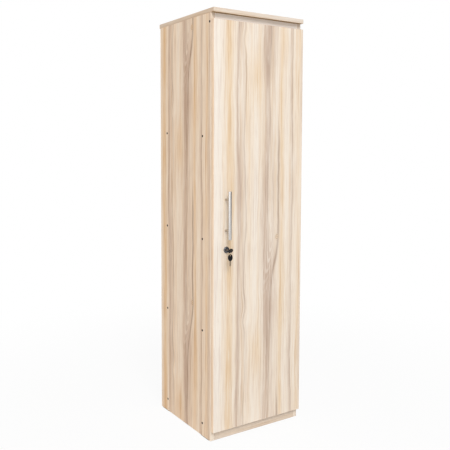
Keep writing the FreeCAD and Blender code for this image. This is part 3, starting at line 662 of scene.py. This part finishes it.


# Painted warm light: these tints stand in for warm light on faces turned sideways; the stronger one is on the
# door's side edges and the shelf bearers, the fainter one on the side panels.
PAINTED_WARM_LIGHT: Colour = (1.04, 0.93, 0.82)
PAINTED_SIDE_LIGHT: Colour = (1.042, 0.99, 0.94)
SIDE_DEPTH = 1.3
BOARD_GRAIN: Place = (700.0, 700.0, 700.0)
BAR_GRAIN: Place = (2600.0, 2600.0, 40.0)


class Finish(Enum):
    """Every finish of the cupboard."""

    DOOR = WoodFinish("door_wood", Axis.X, Axis.Z, 0.097, 0.850)
    # The side panels' tint is painted warm light.
    LEFT_SIDE = WoodFinish("left_side_wood", Axis.Y, Axis.Z, -0.040, 1.745, PAINTED_SIDE_LIGHT, -1.0, SIDE_DEPTH)
    RIGHT_SIDE = WoodFinish("right_side_wood", Axis.Y, Axis.Z, 0.060, 1.245, PAINTED_SIDE_LIGHT, 1.0, SIDE_DEPTH)
    LEVEL = WoodFinish("level_wood", Axis.Y, Axis.X, 0.070, 0.30)
    # The plinth's tone is painted shade: it darkens the whole plinth for the shade under the door.
    CROSS = WoodFinish("cross_wood", Axis.Z, Axis.X, 0.160, 0.10, (0.835, 0.805, 0.785))
    SLAB = WoodFinish("slab_edge_wood", Axis.Z, Axis.X, 1.745, 0.10, (0.88, 0.86, 0.85))
    # The slab's end strips are tinted darker and warmer than the print: painted shade and warm light.
    SLAB_END = WoodFinish("slab_end_wood", Axis.Z, Axis.Y, 1.745, 0.10, (0.785, 0.69, 0.605))
    # The rail's tone, above 1, is painted light: it lifts and cools the rail that sits in the slab's shade.
    RAIL = WoodFinish("rail_wood", Axis.Z, Axis.X, 1.610, 0.45, (1.105, 1.155, 1.245))
    # The top's underside carries painted shade from 1.782 m down.
    TOP = WoodFinish("top_wood", Axis.Y, Axis.X, 0.070, 0.30, painted_shade_below=1.782)
    # The door's side edges and the shelf bearers carry painted warm light in their tint.
    DOOR_EDGE = WoodFinish("door_edge_wood", Axis.Y, Axis.Z, -0.05, 0.85, PAINTED_WARM_LIGHT)
    RUN = WoodFinish("run_wood", Axis.Z, Axis.Y, 1.790, 0.45, PAINTED_WARM_LIGHT)
    UPRIGHT = WoodFinish("upright_wood", Axis.X, Axis.Z, 0.160, 0.40)
    BACK = PlainFinish("back_board", linear(170, 128, 92), linear(150, 110, 78), 0.7, BOARD_GRAIN, 0.0001)
    BLACK = PlainFinish("black_plastic", linear(15, 16, 19), linear(24, 25, 28), 0.5, gloss=0.2)
    WHITE = PlainFinish("white_plastic", linear(232, 230, 224), linear(224, 221, 214), 0.45)
    DARK_SCREW = metal("dark_screw", linear(13, 13, 16), 0.55)
    KEY = metal("key_metal", linear(188, 168, 145), 0.4)
    # Painted shade: a darker copy of the key metal for the blade in the lock, which lies in its bow's shadow.
    WORN_KEY = metal("worn_key", linear(112, 100, 87), 0.4)
    PLATED = metal("plated_steel", linear(205, 205, 202), 0.3)
    # Painted shade and reflection: the posts' metal is darker and browner than the bar's, for the bar's shade
    # and the wood seen in them.
    POST = metal("handle_post", linear(196, 187, 176), 0.26)
    RING = metal("ring_steel", linear(128, 126, 122), 0.3)
    HANDLE = metal("brushed_handle", linear(214, 212, 210), 0.27, grain=BAR_GRAIN)
    # The lock's chrome colour is held low: painted dark reflection.
    LOCK = metal("chrome_lock", linear(126, 127, 131), 0.14, unevenness=0.03)
    NICKEL = metal("nickel_hinge", linear(208, 205, 198), 0.22, unevenness=0.04)


Materials = dict[Finish, bpy.types.Material]

NODE_FINISHES: dict[Finish, tuple[str, ...]] = {
    Finish.DOOR: ("door_panel", "door_edging"),
    Finish.LEFT_SIDE: ("left_side_panel",),
    Finish.RIGHT_SIDE: ("right_side_panel",),
    Finish.TOP: ("top_panel",),
    Finish.SLAB: ("top_edging",),
    Finish.LEVEL: ("bottom_panel", *(f"{level}_shelf" for level in LEVELS)),
    Finish.CROSS: ("plinth",),
    Finish.RAIL: ("top_front_rail",),
    Finish.UPRIGHT: ("carcass_edging",),
    Finish.RUN: ("left_shelf_bearers", "right_shelf_bearers"),
    Finish.BACK: ("back_panel",),
    Finish.WHITE: ("corner_blocks",),
    Finish.DARK_SCREW: ("left_side_screws", "right_side_screws"),
    Finish.HANDLE: ("handle_bar",),
    Finish.POST: ("handle_posts",),
    Finish.LOCK: ("lock_body", "lock_plug"),
    Finish.WORN_KEY: ("key_blade",),
    Finish.KEY: ("spare_key_blade",),
    Finish.RING: ("key_ring",),
    Finish.BLACK: ("key_bow", "spare_key_bow", *(f"{corner}_glide" for corner in CORNERS)),
    Finish.NICKEL: tuple(f"{level}_hinge_{piece}" for level in LEVELS for piece in HINGE_PIECES),
}


def make_materials() -> Materials:
    """Make every material of the cupboard once.

    Returns:
        The materials, by finish.
    """
    trees = {WoodFinish: WoodPrint().print_group(), MetalFinish: line_group(), PlainFinish: skin_group()}
    return {finish: finish.value.make(trees[type(finish.value)]) for finish in Finish}


def dress_nodes(materials: Materials) -> None:
    """Give every node of the model its material, which is plated steel where none is named.

    Args:
        materials: The cupboard's materials.
    """
    chosen = {name: finish for finish, names in NODE_FINISHES.items() for name in names}
    for name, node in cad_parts.items():
        material = materials[chosen.get(name, Finish.PLATED)]
        if not node.material_slots:
            node.data.materials.append(material)
        for slot in node.material_slots:
            slot.material = material


@dataclass(frozen=True)
class Lamp:
    """A square soft lamp, with its side in metres and its power in watts."""

    name: str
    place: Place
    target: Place
    size: float
    power: float

    def build(self) -> None:
        """Hang the lamp and aim it."""
        data = bpy.data.lights.new(self.name, "AREA")
        data.size = self.size
        data.energy = self.power
        lamp = bpy.data.objects.new(self.name, data)
        turn = (Vector(self.target) - Vector(self.place)).to_track_quat("-Z", "Y")
        lamp.matrix_world = Matrix.Translation(self.place) @ turn.to_matrix().to_4x4()
        bpy.context.scene.collection.objects.link(lamp)


@dataclass(frozen=True)
class Flag:
    """A dark flag that only shows in gloss, with its middle, its two sides and its turn about the Y axis."""

    name: str
    place: Place
    size: tuple[float, float]
    turn: float = 0.0
    grey: float = 0.14

    def build(self) -> None:
        """Set up the flag."""
        material, graph, shader = new_material(self.name + "_cloth")
        graph.wire(shader, {"Base Color": (self.grey, self.grey, self.grey), "Roughness": 1.0})
        flag = start_plane(self.name, material, location=self.place, rotation=(0.0, self.turn, 0.0))
        flag.scale = (*self.size, 1.0)
        for ray in ("camera", "diffuse", "transmission", "shadow"):
            setattr(flag, f"visible_{ray}", False)


@dataclass
class Studio:
    """Camera at the photograph's place, soft lamps, white surroundings and a pale floor."""

    camera_at: Place = (-1.60769, -2.390713, 1.24869)
    yaw: float = 33.314
    pitch: float = -4.053
    roll: float = 0.183
    lens: float = 50.777
    sensor: float = 36.0
    shift: tuple[float, float] = (-0.00076, -0.07748)
    surround: float = 0.45
    floor_size: float = 40.0
    floor_tone: float = 0.9
    floor_roughness: float = 0.9
    floor_lift: float = 0.92
    shadow_reach: tuple[float, float] = (0.7, 2.4)
    lamps: tuple[Lamp, ...] = (
        Lamp("key_lamp", (-4.6, -11.2, 10.8), (0.0, -0.1, 0.9), 6.4, 1390.0),
        Lamp("fill_lamp", (-5.0, -1.2, 1.3), (0.0, 0.0, 0.9), 2.4, 28.0),
    )
    flags: tuple[Flag, ...] = (
        Flag("front_flag", (2.2, -3.0, 1.4), (2.8, 5.0), math.pi / 2),
        Flag("low_flag", (0.0, -0.85, 0.02), (3.0, 1.1)),
    )

    def build(self) -> None:
        """Put the camera, the surroundings, the lamps, the floor and the flags in the scene."""
        bpy.context.scene.view_settings.view_transform = "Standard"
        self.place_camera()
        self.surroundings()
        for lamp in self.lamps:
            lamp.build()
        self.floor()
        for flag in self.flags:
            flag.build()

    def place_camera(self) -> None:
        """Aim the camera and let the scene look through it."""
        data = bpy.data.cameras.new("camera")
        data.lens = self.lens
        data.sensor_width = self.sensor
        data.sensor_fit = "HORIZONTAL"
        data.shift_x, data.shift_y = self.shift
        data.dof.use_dof = False
        place = Matrix.Translation(self.camera_at)
        for axis, angle in (("Z", -self.yaw), ("X", 90.0 + self.pitch), ("Z", self.roll)):
            place = place @ Matrix.Rotation(math.radians(angle), 4, axis)
        camera = bpy.data.objects.new("camera", data)
        camera.matrix_world = place
        bpy.context.scene.collection.objects.link(camera)
        bpy.context.scene.camera = camera

    def seen_white(self, graph: Graph) -> Socket:
        """Give 1 to the rays that show the white surroundings."""
        path = graph.add("ShaderNodeLightPath").outputs
        return graph.math("MINIMUM", reduce(graph.plus, [path[f"Is {ray} Ray"] for ray in SEEN_RAYS]), 1.0)

    def surroundings(self) -> None:
        """Make the world white where it is seen and plainly bright elsewhere."""
        world = bpy.data.worlds.new("white_room")
        world.use_nodes = True
        graph = Graph(world.node_tree)
        strength = graph.ease(self.seen_white(graph), (0.0, 1.0, self.surround, 1.0))
        graph.wire(world.node_tree.nodes["Background"], {"Color": (1.0, 1.0, 1.0), "Strength": strength})
        bpy.context.scene.world = world

    def floor(self) -> None:
        """Lay the pale floor, which keeps the cupboard's shadow."""
        material, graph, shader = new_material("pale_floor")
        tone = (self.floor_tone, self.floor_tone, self.floor_tone)
        graph.wire(shader, {"Base Color": tone, "Roughness": self.floor_roughness, "Specular IOR Level": 0.0})
        glow = graph.wire(graph.add("ShaderNodeEmission"), {"Strength": 1.0})
        measure = graph.add("ShaderNodeVectorMath", operation="LENGTH")
        away = graph.wire(measure, {0: graph.here()}, "Value")
        lift = graph.ease(away, (*self.shadow_reach, self.floor_lift, 1.0))
        share = graph.times(self.seen_white(graph), lift)
        blend = graph.result("ShaderNodeMixShader", share, shader.outputs[0], glow)
        graph.feed(graph.tree.nodes["Material Output"].inputs["Surface"], blend)
        floor = start_plane("floor", material, self.floor_size)


def take(piece: Piece) -> None:
    """Select one piece alone and make it the active one."""
    bpy.ops.object.select_all(action="DESELECT")
    piece.select_set(True)
    bpy.context.view_layer.objects.active = piece


def start_plane(name: str, material: bpy.types.Material, size: float = 1.0, **place: Place) -> Piece:
    """Add a flat sheet of the stage.

    Args:
        name: The sheet's name.
        material: Its material.
        size: Length of its side.
        place: Its location and rotation, where it isn't flat on the floor's middle.

    Returns:
        The sheet.
    """
    bpy.ops.mesh.primitive_plane_add(size=size, **place)
    sheet = bpy.context.active_object
    sheet.name = name
    sheet.data.materials.append(material)
    return sheet


def turned(first: Vector, second: Vector, third: Vector) -> Matrix:
    """Give the turn that takes the three axes to these directions."""
    return Matrix((first, second, third)).transposed().to_4x4()


def node_box(name: str) -> tuple[Vector, Vector]:
    """Give a node's lowest and highest corners as vectors."""
    low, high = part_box(name)
    return Vector(low), Vector(high)


def kept_in_place(name: str) -> Piece:
    """Name the piece just added and put its place in its mesh.

    Args:
        name: The piece's name.

    Returns:
        The piece.
    """
    piece = bpy.context.active_object
    piece.name = name
    bpy.ops.object.transform_apply(location=True, rotation=True, scale=True)
    return piece


def start_box(name: str, low: Vector, high: Vector) -> Piece:
    """Start a piece as a box between two corners."""
    bpy.ops.mesh.primitive_cube_add(size=1.0, location=(low + high) / 2, scale=high - low)
    return kept_in_place(name)


def start_rod(name: str, foot: Vector, tip: Vector, radius: float, sides: int = 64) -> Piece:
    """Start a piece as a round rod.

    Args:
        name: The piece's name.
        foot, tip: The middles of its two ends.
        radius: Its radius.
        sides: Faces round it.

    Returns:
        The rod.
    """
    way = tip - foot
    bpy.ops.mesh.primitive_cylinder_add(
        vertices=sides,
        radius=radius,
        depth=way.length,
        location=(foot + tip) / 2,
        rotation=way.to_track_quat("Z", "Y").to_euler(),
    )
    return kept_in_place(name)


class Part(Enum):
    """What is selected on a mesh."""

    EDGE = "EDGE"
    FACE = "FACE"


def choose(piece: Piece, part: Part, chosen: Choice) -> None:
    """Go into edit mode with some edges or faces selected.

    Args:
        piece: The piece that is edited.
        part: Edges or faces.
        chosen: Tells from an edge's two ends, or from a face's middle and normal, whether it is wanted.
    """
    take(piece)
    bpy.ops.object.mode_set(mode="EDIT")
    bpy.ops.mesh.select_mode(type=part.value)
    bpy.ops.mesh.select_all(action="DESELECT")
    mesh = bmesh.from_edit_mesh(piece.data)
    if part is Part.EDGE:
        for edge in mesh.edges:
            edge.select_set(chosen(edge.verts[0].co, edge.verts[1].co))
    else:
        for face in mesh.faces:
            face.select_set(chosen(face.calc_center_median(), face.normal))
    bmesh.update_edit_mesh(piece.data)


def choose_open_edges() -> None:
    """Select the open edges of the mesh that is edited."""
    bpy.ops.mesh.select_mode(type="EDGE")
    bpy.ops.mesh.select_all(action="DESELECT")
    bpy.ops.mesh.select_non_manifold()


def leave_closed() -> None:
    """Turn the faces of a closed mesh outwards and leave edit mode."""
    bpy.ops.mesh.select_all(action="SELECT")
    bpy.ops.mesh.normals_make_consistent(inside=False)
    bpy.ops.object.mode_set(mode="OBJECT")


def inset(width: float, depth: float = 0.0) -> None:
    """Inset the selected faces by a width in mm, raised by a depth in mm."""
    bpy.ops.mesh.inset(thickness=width * MM, depth=depth * MM)


def draw_out(move: Vector) -> None:
    """Extrude the selected faces by a move."""
    bpy.ops.mesh.extrude_region_move(TRANSFORM_OT_translate={"value": move})


def ease_edges(piece: Piece, chosen: Choice, width: float, steps: int = 3) -> None:
    """Round some edges of a piece.

    Args:
        piece: The piece.
        chosen: Tells from an edge's two ends whether it is rounded.
        width: Width of the rounding, in mm.
        steps: Faces across the rounding.
    """
    choose(piece, Part.EDGE, chosen)
    bpy.ops.mesh.bevel(offset=width * MM, segments=steps, affect="EDGES")
    bpy.ops.object.mode_set(mode="OBJECT")


def finish_with(piece: Piece, kind: str, **settings: object) -> None:
    """Finish a piece with a modifier that is applied.

    Args:
        piece: The piece.
        kind: Blender's name for the modifier.
        settings: Properties to set on it.
    """
    take(piece)
    change = piece.modifiers.new(kind.lower(), kind)
    for name, value in settings.items():
        setattr(change, name, value)
    bpy.ops.object.modifier_apply(modifier=change.name)


class Carve(Enum):
    """What a tool does to a piece."""

    CUT = "DIFFERENCE"
    ADD = "UNION"


def carve(piece: Piece, tool: Piece, way: Carve = Carve.CUT) -> None:
    """Cut a tool's shape out of a piece, or add it, and clear the tool away."""
    finish_with(piece, "BOOLEAN", operation=way.value, solver="EXACT", object=tool)
    bpy.data.objects.remove(tool, do_unlink=True)


def joined(name: str, pieces: Sequence[Piece]) -> Piece:
    """Make several pieces one object.

    Args:
        name: The new object's name.
        pieces: What is joined.

    Returns:
        The object.
    """
    take(pieces[0])
    for piece in pieces[1:]:
        piece.select_set(True)
    bpy.ops.object.join()
    pieces[0].name = name
    return pieces[0]


def copied(piece: Piece, name: str, move: Matrix) -> Piece:
    """Copy a piece with a mesh of its own.

    Args:
        piece: What is copied.
        name: The copy's name.
        move: Takes the first one's place to the copy's.

    Returns:
        The copy.
    """
    twin = piece.copy()
    twin.data = piece.data.copy()
    twin.data.transform(move)
    twin.name = name
    bpy.context.scene.collection.objects.link(twin)
    return twin


@dataclass
class Assembly:
    """A sub-assembly, which holds the cupboard's materials."""

    materials: Materials

    def settle(
        self, piece: Piece, body: str, slot: str, finish: Finish, node: str, smooth: float = 40.0
    ) -> None:
        """Finish a piece: its shading, its material, what it rides on and what it stands for.

        Args:
            piece: The piece.
            body: The body it rides on.
            slot: The record's material slot; not used.
            finish: Its finish.
            node: The node it stands for.
            smooth: Degrees under which neighbouring faces shade as one.
        """
        take(piece)
        bpy.ops.object.shade_smooth_by_angle(angle=math.radians(smooth))
        piece.data.materials.clear()
        piece.data.materials.append(self.materials[finish])
        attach(piece, body)
        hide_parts(node)
        LOG.info("%s rides on %s", piece.name, body)


@dataclass
class Edging(Assembly):
    """Edge strips of the boards, each with the grain along it, in mm."""

    thickness: float = 1.0
    ease: float = 0.8
    long_share: float = 0.99
    smooth: float = 30.0

    def strip(self, name: str, low: Vector, high: Vector, out: Vector) -> Piece:
        """Model one strip with the long edges of its outer face rounded.

        Args:
            name: The strip's name.
            low, high: Its corners.
            out: Direction out of its outer face.

        Returns:
            The strip.
        """
        piece = start_box(name, low, high)
        face = max(low.dot(out), high.dot(out))
        longest = max(high - low)

        def wanted(first: Vector, second: Vector) -> bool:
            """Tell whether an edge is a long one of the outer face."""
            outer = min(first.dot(out), second.dot(out)) > face - self.thickness * MM / 2
            return outer and (first - second).length > longest * self.long_share

        ease_edges(piece, wanted, self.ease)
        return piece

    def strips(
        self, name: str, boards: Sequence[str], axis: Axis, signs: Sequence[int], past: Place
    ) -> Piece:
        """Model strips on edges of some boards.

        Args:
            name: The strips' name.
            boards: The boards' nodes.
            axis, signs: The directions in which the edges face.
            past: How far each strip runs past its board on either side.

        Returns:
            The strips as one object.
        """
        made = []
        for board, sign in product(boards, signs):
            low, high = node_box(board)
            first, second = low - Vector(past), high + Vector(past)
            first[axis.value] = low[axis.value] - self.thickness * MM if sign < 0 else high[axis.value]
            second[axis.value] = first[axis.value] + self.thickness * MM
            out = Vector()
            out[axis.value] = sign
            made.append(self.strip(board + "_strip", first, second, out))
        return joined(name, made)

    def build(self) -> None:
        """Model and dress every strip."""
        sides, top, door = ("left_side_panel", "right_side_panel"), ("top_panel",), ("door_panel",)
        levels = NODE_FINISHES[Finish.LEVEL]
        front, both = (-1,), (-1, 1)
        flush, wider, taller = (0, 0, 0), (self.thickness * MM, 0, 0), (0, 0, self.thickness * MM)
        for name, boards, axis, signs, past, body, finish, node in (
            ("side_edge_strips", sides, Axis.Y, front, flush, "carcass", Finish.UPRIGHT, "carcass_edging"),
            ("board_edge_strips", levels, Axis.Y, front, flush, "carcass", Finish.SLAB, "carcass_edging"),
            ("slab_front_strip", top, Axis.Y, front, wider, "carcass", Finish.SLAB, "top_edging"),
            ("slab_end_strips", top, Axis.X, both, flush, "carcass", Finish.SLAB_END, "top_edging"),
            ("door_side_strips", door, Axis.X, both, taller, "door", Finish.DOOR_EDGE, "door_edging"),
            ("door_end_strips", door, Axis.Z, both, flush, "door", Finish.SLAB, "door_edging"),
        ):
            piece = self.strips(name, boards, axis, signs, past)
            self.settle(piece, body, "oak_edging", finish, node, self.smooth)


@dataclass
class Handle(Assembly):
    """Upright bar on two posts, in mm."""

    bar_ease: float = 1.2
    bar_steps: int = 4
    post_ease: float = 0.5
    post_sides: int = 48

    def build(self) -> None:
        """Model and dress the bar and its posts."""
        low, high = node_box("handle_bar")
        middle = (low + high) / 2
        radius = (high.x - low.x) / 2
        rise = Vector((0, 0, (high.z - low.z) / 2))
        bar = start_rod("handle_rod", middle - rise, middle + rise, radius)
        ease_edges(bar, lambda a, b: abs(a.z - b.z) < CLOSE, self.bar_ease, self.bar_steps)
        self.settle(bar, "door", "brushed_handle", Finish.HANDLE, "handle_bar")
        self.build_posts(middle, radius)

    def build_posts(self, middle: Vector, bar_radius: float) -> None:
        """Model the two posts, coped to the bar.

        Args:
            middle: Middle of the bar.
            bar_radius: Radius of the bar.
        """
        low, high = node_box("handle_posts")
        radius = (high.x - low.x) / 2
        foot = Vector((middle.x, high.y, low.z + radius))
        tip = Vector((middle.x, middle.y, foot.z))
        span = Vector((0, 0, 2 * bar_radius))
        post = start_rod("lower_post", foot, tip, radius, self.post_sides)
        ease_edges(post, lambda a, b: min(a.y, b.y) > high.y - CLOSE, self.post_ease)
        carve(post, start_rod("cope", tip - span, tip + span, bar_radius))
        twin = copied(post, "upper_post", Matrix.Translation((0, 0, high.z - low.z - 2 * radius)))
        posts = joined("handle_feet", [post, twin])
        self.settle(posts, "door", "brushed_handle", Finish.POST, "handle_posts")


@dataclass
class Lock(Assembly):
    """Flanged barrel of the cam lock, in mm."""

    flange_proud: float = 5.0
    barrel_radius: float = 9.3
    head_radius: float = 7.6
    head_depth: float = 3.0
    bore_radius: float = 6.4
    front_ease: float = 2.4
    front_steps: int = 6
    bore_ease: float = 0.4
    face_hold: float = 0.5
    sides: int = 96
    smooth: float = 35.0

    def build(self) -> None:
        """Model and dress the barrel, drawn out of its flange."""
        low, high = node_box("lock_body")
        middle = (low + high) / 2
        radius = (high.x - low.x) / 2 / MM
        front = Vector((middle.x, low.y, middle.z))
        back = Vector((middle.x, low.y + self.flange_proud * MM, middle.z))
        body = start_rod("lock_barrel", front, back, radius * MM, self.sides)
        ease_edges(body, lambda a, b: max(a.y, b.y) < low.y + CLOSE, self.front_ease, self.front_steps)

        choose(body, Part.FACE, lambda place, normal: place.y < low.y + CLOSE and normal.y < -FACING)
        face_width = radius - self.front_ease - self.head_radius - self.bore_ease
        inset(self.face_hold)
        inset(face_width - self.face_hold)
        inset(self.bore_ease, -self.bore_ease)
        draw_out(Vector((0, (self.head_depth - self.bore_ease) * MM, 0)))
        inset(self.head_radius - self.bore_radius)
        bpy.ops.mesh.delete(type="FACE")
        bpy.ops.object.mode_set(mode="OBJECT")

        choose(body, Part.FACE, lambda place, normal: abs(place.y - back.y) < CLOSE and normal.y > FACING)
        inset(radius - self.barrel_radius)
        draw_out(Vector((0, high.y - back.y, 0)))
        inset(self.barrel_radius - self.bore_radius)
        bpy.ops.mesh.delete(type="FACE")
        choose_open_edges()
        bpy.ops.mesh.bridge_edge_loops()
        leave_closed()
        self.settle(body, "door", "chrome_lock", Finish.LOCK, "lock_body", self.smooth)


@dataclass
class Keys(Assembly):
    """Moulded bows of the two keys and the split ring that joins them, in mm and degrees."""

    bow_width: float = 22.0
    bow_length: float = 28.0
    bow_thickness: float = 2.8
    bow_sides: int = 72
    neck_width: float = 9.0
    neck_length: float = 5.0
    hole_diameter: float = 5.6
    hole_margin: float = 4.75
    hole_sides: int = 48
    tang_width: float = 4.6
    tang_length: float = 9.0
    tang_thickness: float = 1.8
    ease: float = 0.7
    ease_steps: int = 4
    sharp: float = 50.0
    tilt: float = 45.0
    blade_shown: float = 13.0
    ring_radius: float = 9.25
    ring_lean: float = 23.0
    ring_slant: float = 0.82
    ring_steps: int = 64
    ring_smooth: float = 60.0
    wire_radius: float = 0.24
    wire_pitch: float = 0.5
    wire_sides: int = 12
    wire_turns: int = 2

    def first_bow(self) -> Piece:
        """Model a bow lying flat, with its neck end at the origin and its blade towards +Y.

        Returns:
            The bow.
        """
        length = self.bow_length * MM
        lift = Vector((0, 0, self.bow_thickness * MM / 2))
        middle = Vector((0, -length / 2, 0))
        bow = start_rod("bow", middle - lift, middle + lift, length / 2, self.bow_sides)
        bow.data.transform(Matrix.Diagonal((self.bow_width / self.bow_length, 1, 1, 1)))
        corner = Vector((self.neck_width * MM / 2, 0, 0)) + lift
        carve(bow, start_box("neck", Vector((0, -self.neck_length * MM, 0)) - corner, corner), Carve.ADD)
        hole = Vector((0, (self.hole_margin - self.bow_length) * MM, 0))
        hole_radius = self.hole_diameter * MM / 2
        carve(bow, start_rod("hole", hole - 2 * lift, hole + 2 * lift, hole_radius, self.hole_sides))
        finish_with(
            bow,
            "BEVEL",
            width=self.ease * MM,
            segments=self.ease_steps,
            limit_method="ANGLE",
            angle_limit=math.radians(self.sharp),
        )
        tang = Vector((self.tang_width * MM / 2, self.tang_length * MM, self.tang_thickness * MM / 2))
        carve(bow, start_box("tang", -tang, tang))
        return bow

    def build(self) -> None:
        """Model and dress the bows and the ring."""
        low, high = node_box("lock_body")
        lock = Vector(((low.x + high.x) / 2, low.y, (low.z + high.z) / 2))
        tilt, lean = math.radians(self.tilt), math.radians(self.ring_lean)
        wide = Vector((math.sin(tilt), 0, math.cos(tilt)))
        down = Vector((-math.sin(lean), 0, -math.cos(lean)))
        hole_depth = (self.bow_length - self.hole_margin) * MM
        base = lock - Vector((0, self.blade_shown * MM, 0))
        hole = base - Vector((0, hole_depth, 0))
        spare_base = hole + down * (2 * self.ring_radius * MM) - Vector((0, 0, hole_depth))
        first = self.first_bow()
        spare = copied(first, "spare_bow", self.way(spare_base, Vector((0, 0, -1)), Vector((1, 0, 0))))
        first.data.transform(self.way(base, Vector((0, 1, 0)), wide))
        first.name = "bow_in_lock"
        self.settle(first, "lock_plug", "black_plastic", Finish.BLACK, "key_bow")
        self.settle(spare, "spare_key", "black_plastic", Finish.BLACK, "spare_key_bow")
        self.build_ring(hole + down * (self.ring_radius * MM), down, wide)

    def way(self, base: Vector, blade: Vector, wide: Vector) -> Matrix:
        """Give the move from a bow lying flat to a base, a blade's direction and one across the bow."""
        return Matrix.Translation(base) @ turned(wide, blade, wide.cross(blade))

    def build_ring(self, centre: Vector, down: Vector, wide: Vector) -> None:
        """Model the ring as two turns of wire.

        Args:
            centre: Middle of the ring.
            down: Direction from the first key's hole to the spare key's.
            wide: Direction across the first key's bow.
        """
        ahead = Vector((0, 1, 0))
        slant = ahead * self.ring_slant - wide.cross(ahead)
        slant = (slant - down * slant.dot(down)).normalized()
        bpy.ops.mesh.primitive_circle_add(
            vertices=self.wire_sides,
            radius=self.wire_radius * MM,
            location=(self.ring_radius * MM, 0, -self.wire_pitch * MM),
            rotation=(math.pi / 2, 0, 0),
        )
        ring = kept_in_place("split_ring")
        finish_with(
            ring,
            "SCREW",
            axis="Z",
            angle=2 * math.pi,
            iterations=self.wire_turns,
            screw_offset=self.wire_pitch * MM,
            steps=self.ring_steps,
            render_steps=self.ring_steps,
        )
        bpy.ops.object.mode_set(mode="EDIT")
        choose_open_edges()
        bpy.ops.mesh.edge_face_add()
        leave_closed()
        ring.data.transform(Matrix.Translation(centre) @ turned(down, slant, down.cross(slant)))
        self.settle(ring, "lock_plug", "plated_steel", Finish.RING, "key_ring", self.ring_smooth)


@dataclass
class Glides(Assembly):
    """Moulded glides under the side panels, in mm."""

    ease: float = 0.5
    steps: int = 4

    def build(self) -> None:
        """Model and dress the four glides."""
        for corner in CORNERS:
            low, high = node_box(f"{corner}_glide")
            half_way = (low.z + high.z) / 2
            glide = start_box(f"{corner}_foot", low, high)
            ease_edges(glide, lambda a, b: max(a.z, b.z) < half_way, self.ease, self.steps)
            self.settle(glide, "carcass", "black_plastic", Finish.BLACK, f"{corner}_glide")


def main() -> None:
    """Build the studio, the finishes and the cupboard's pieces."""
    logging.basicConfig(level=logging.INFO)
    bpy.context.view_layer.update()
    Studio().build()
    materials = make_materials()
    dress_nodes(materials)
    for assembly in (Edging, Handle, Lock, Keys, Glides):
        assembly(materials).build()


if __name__ == "__main__":
    main()
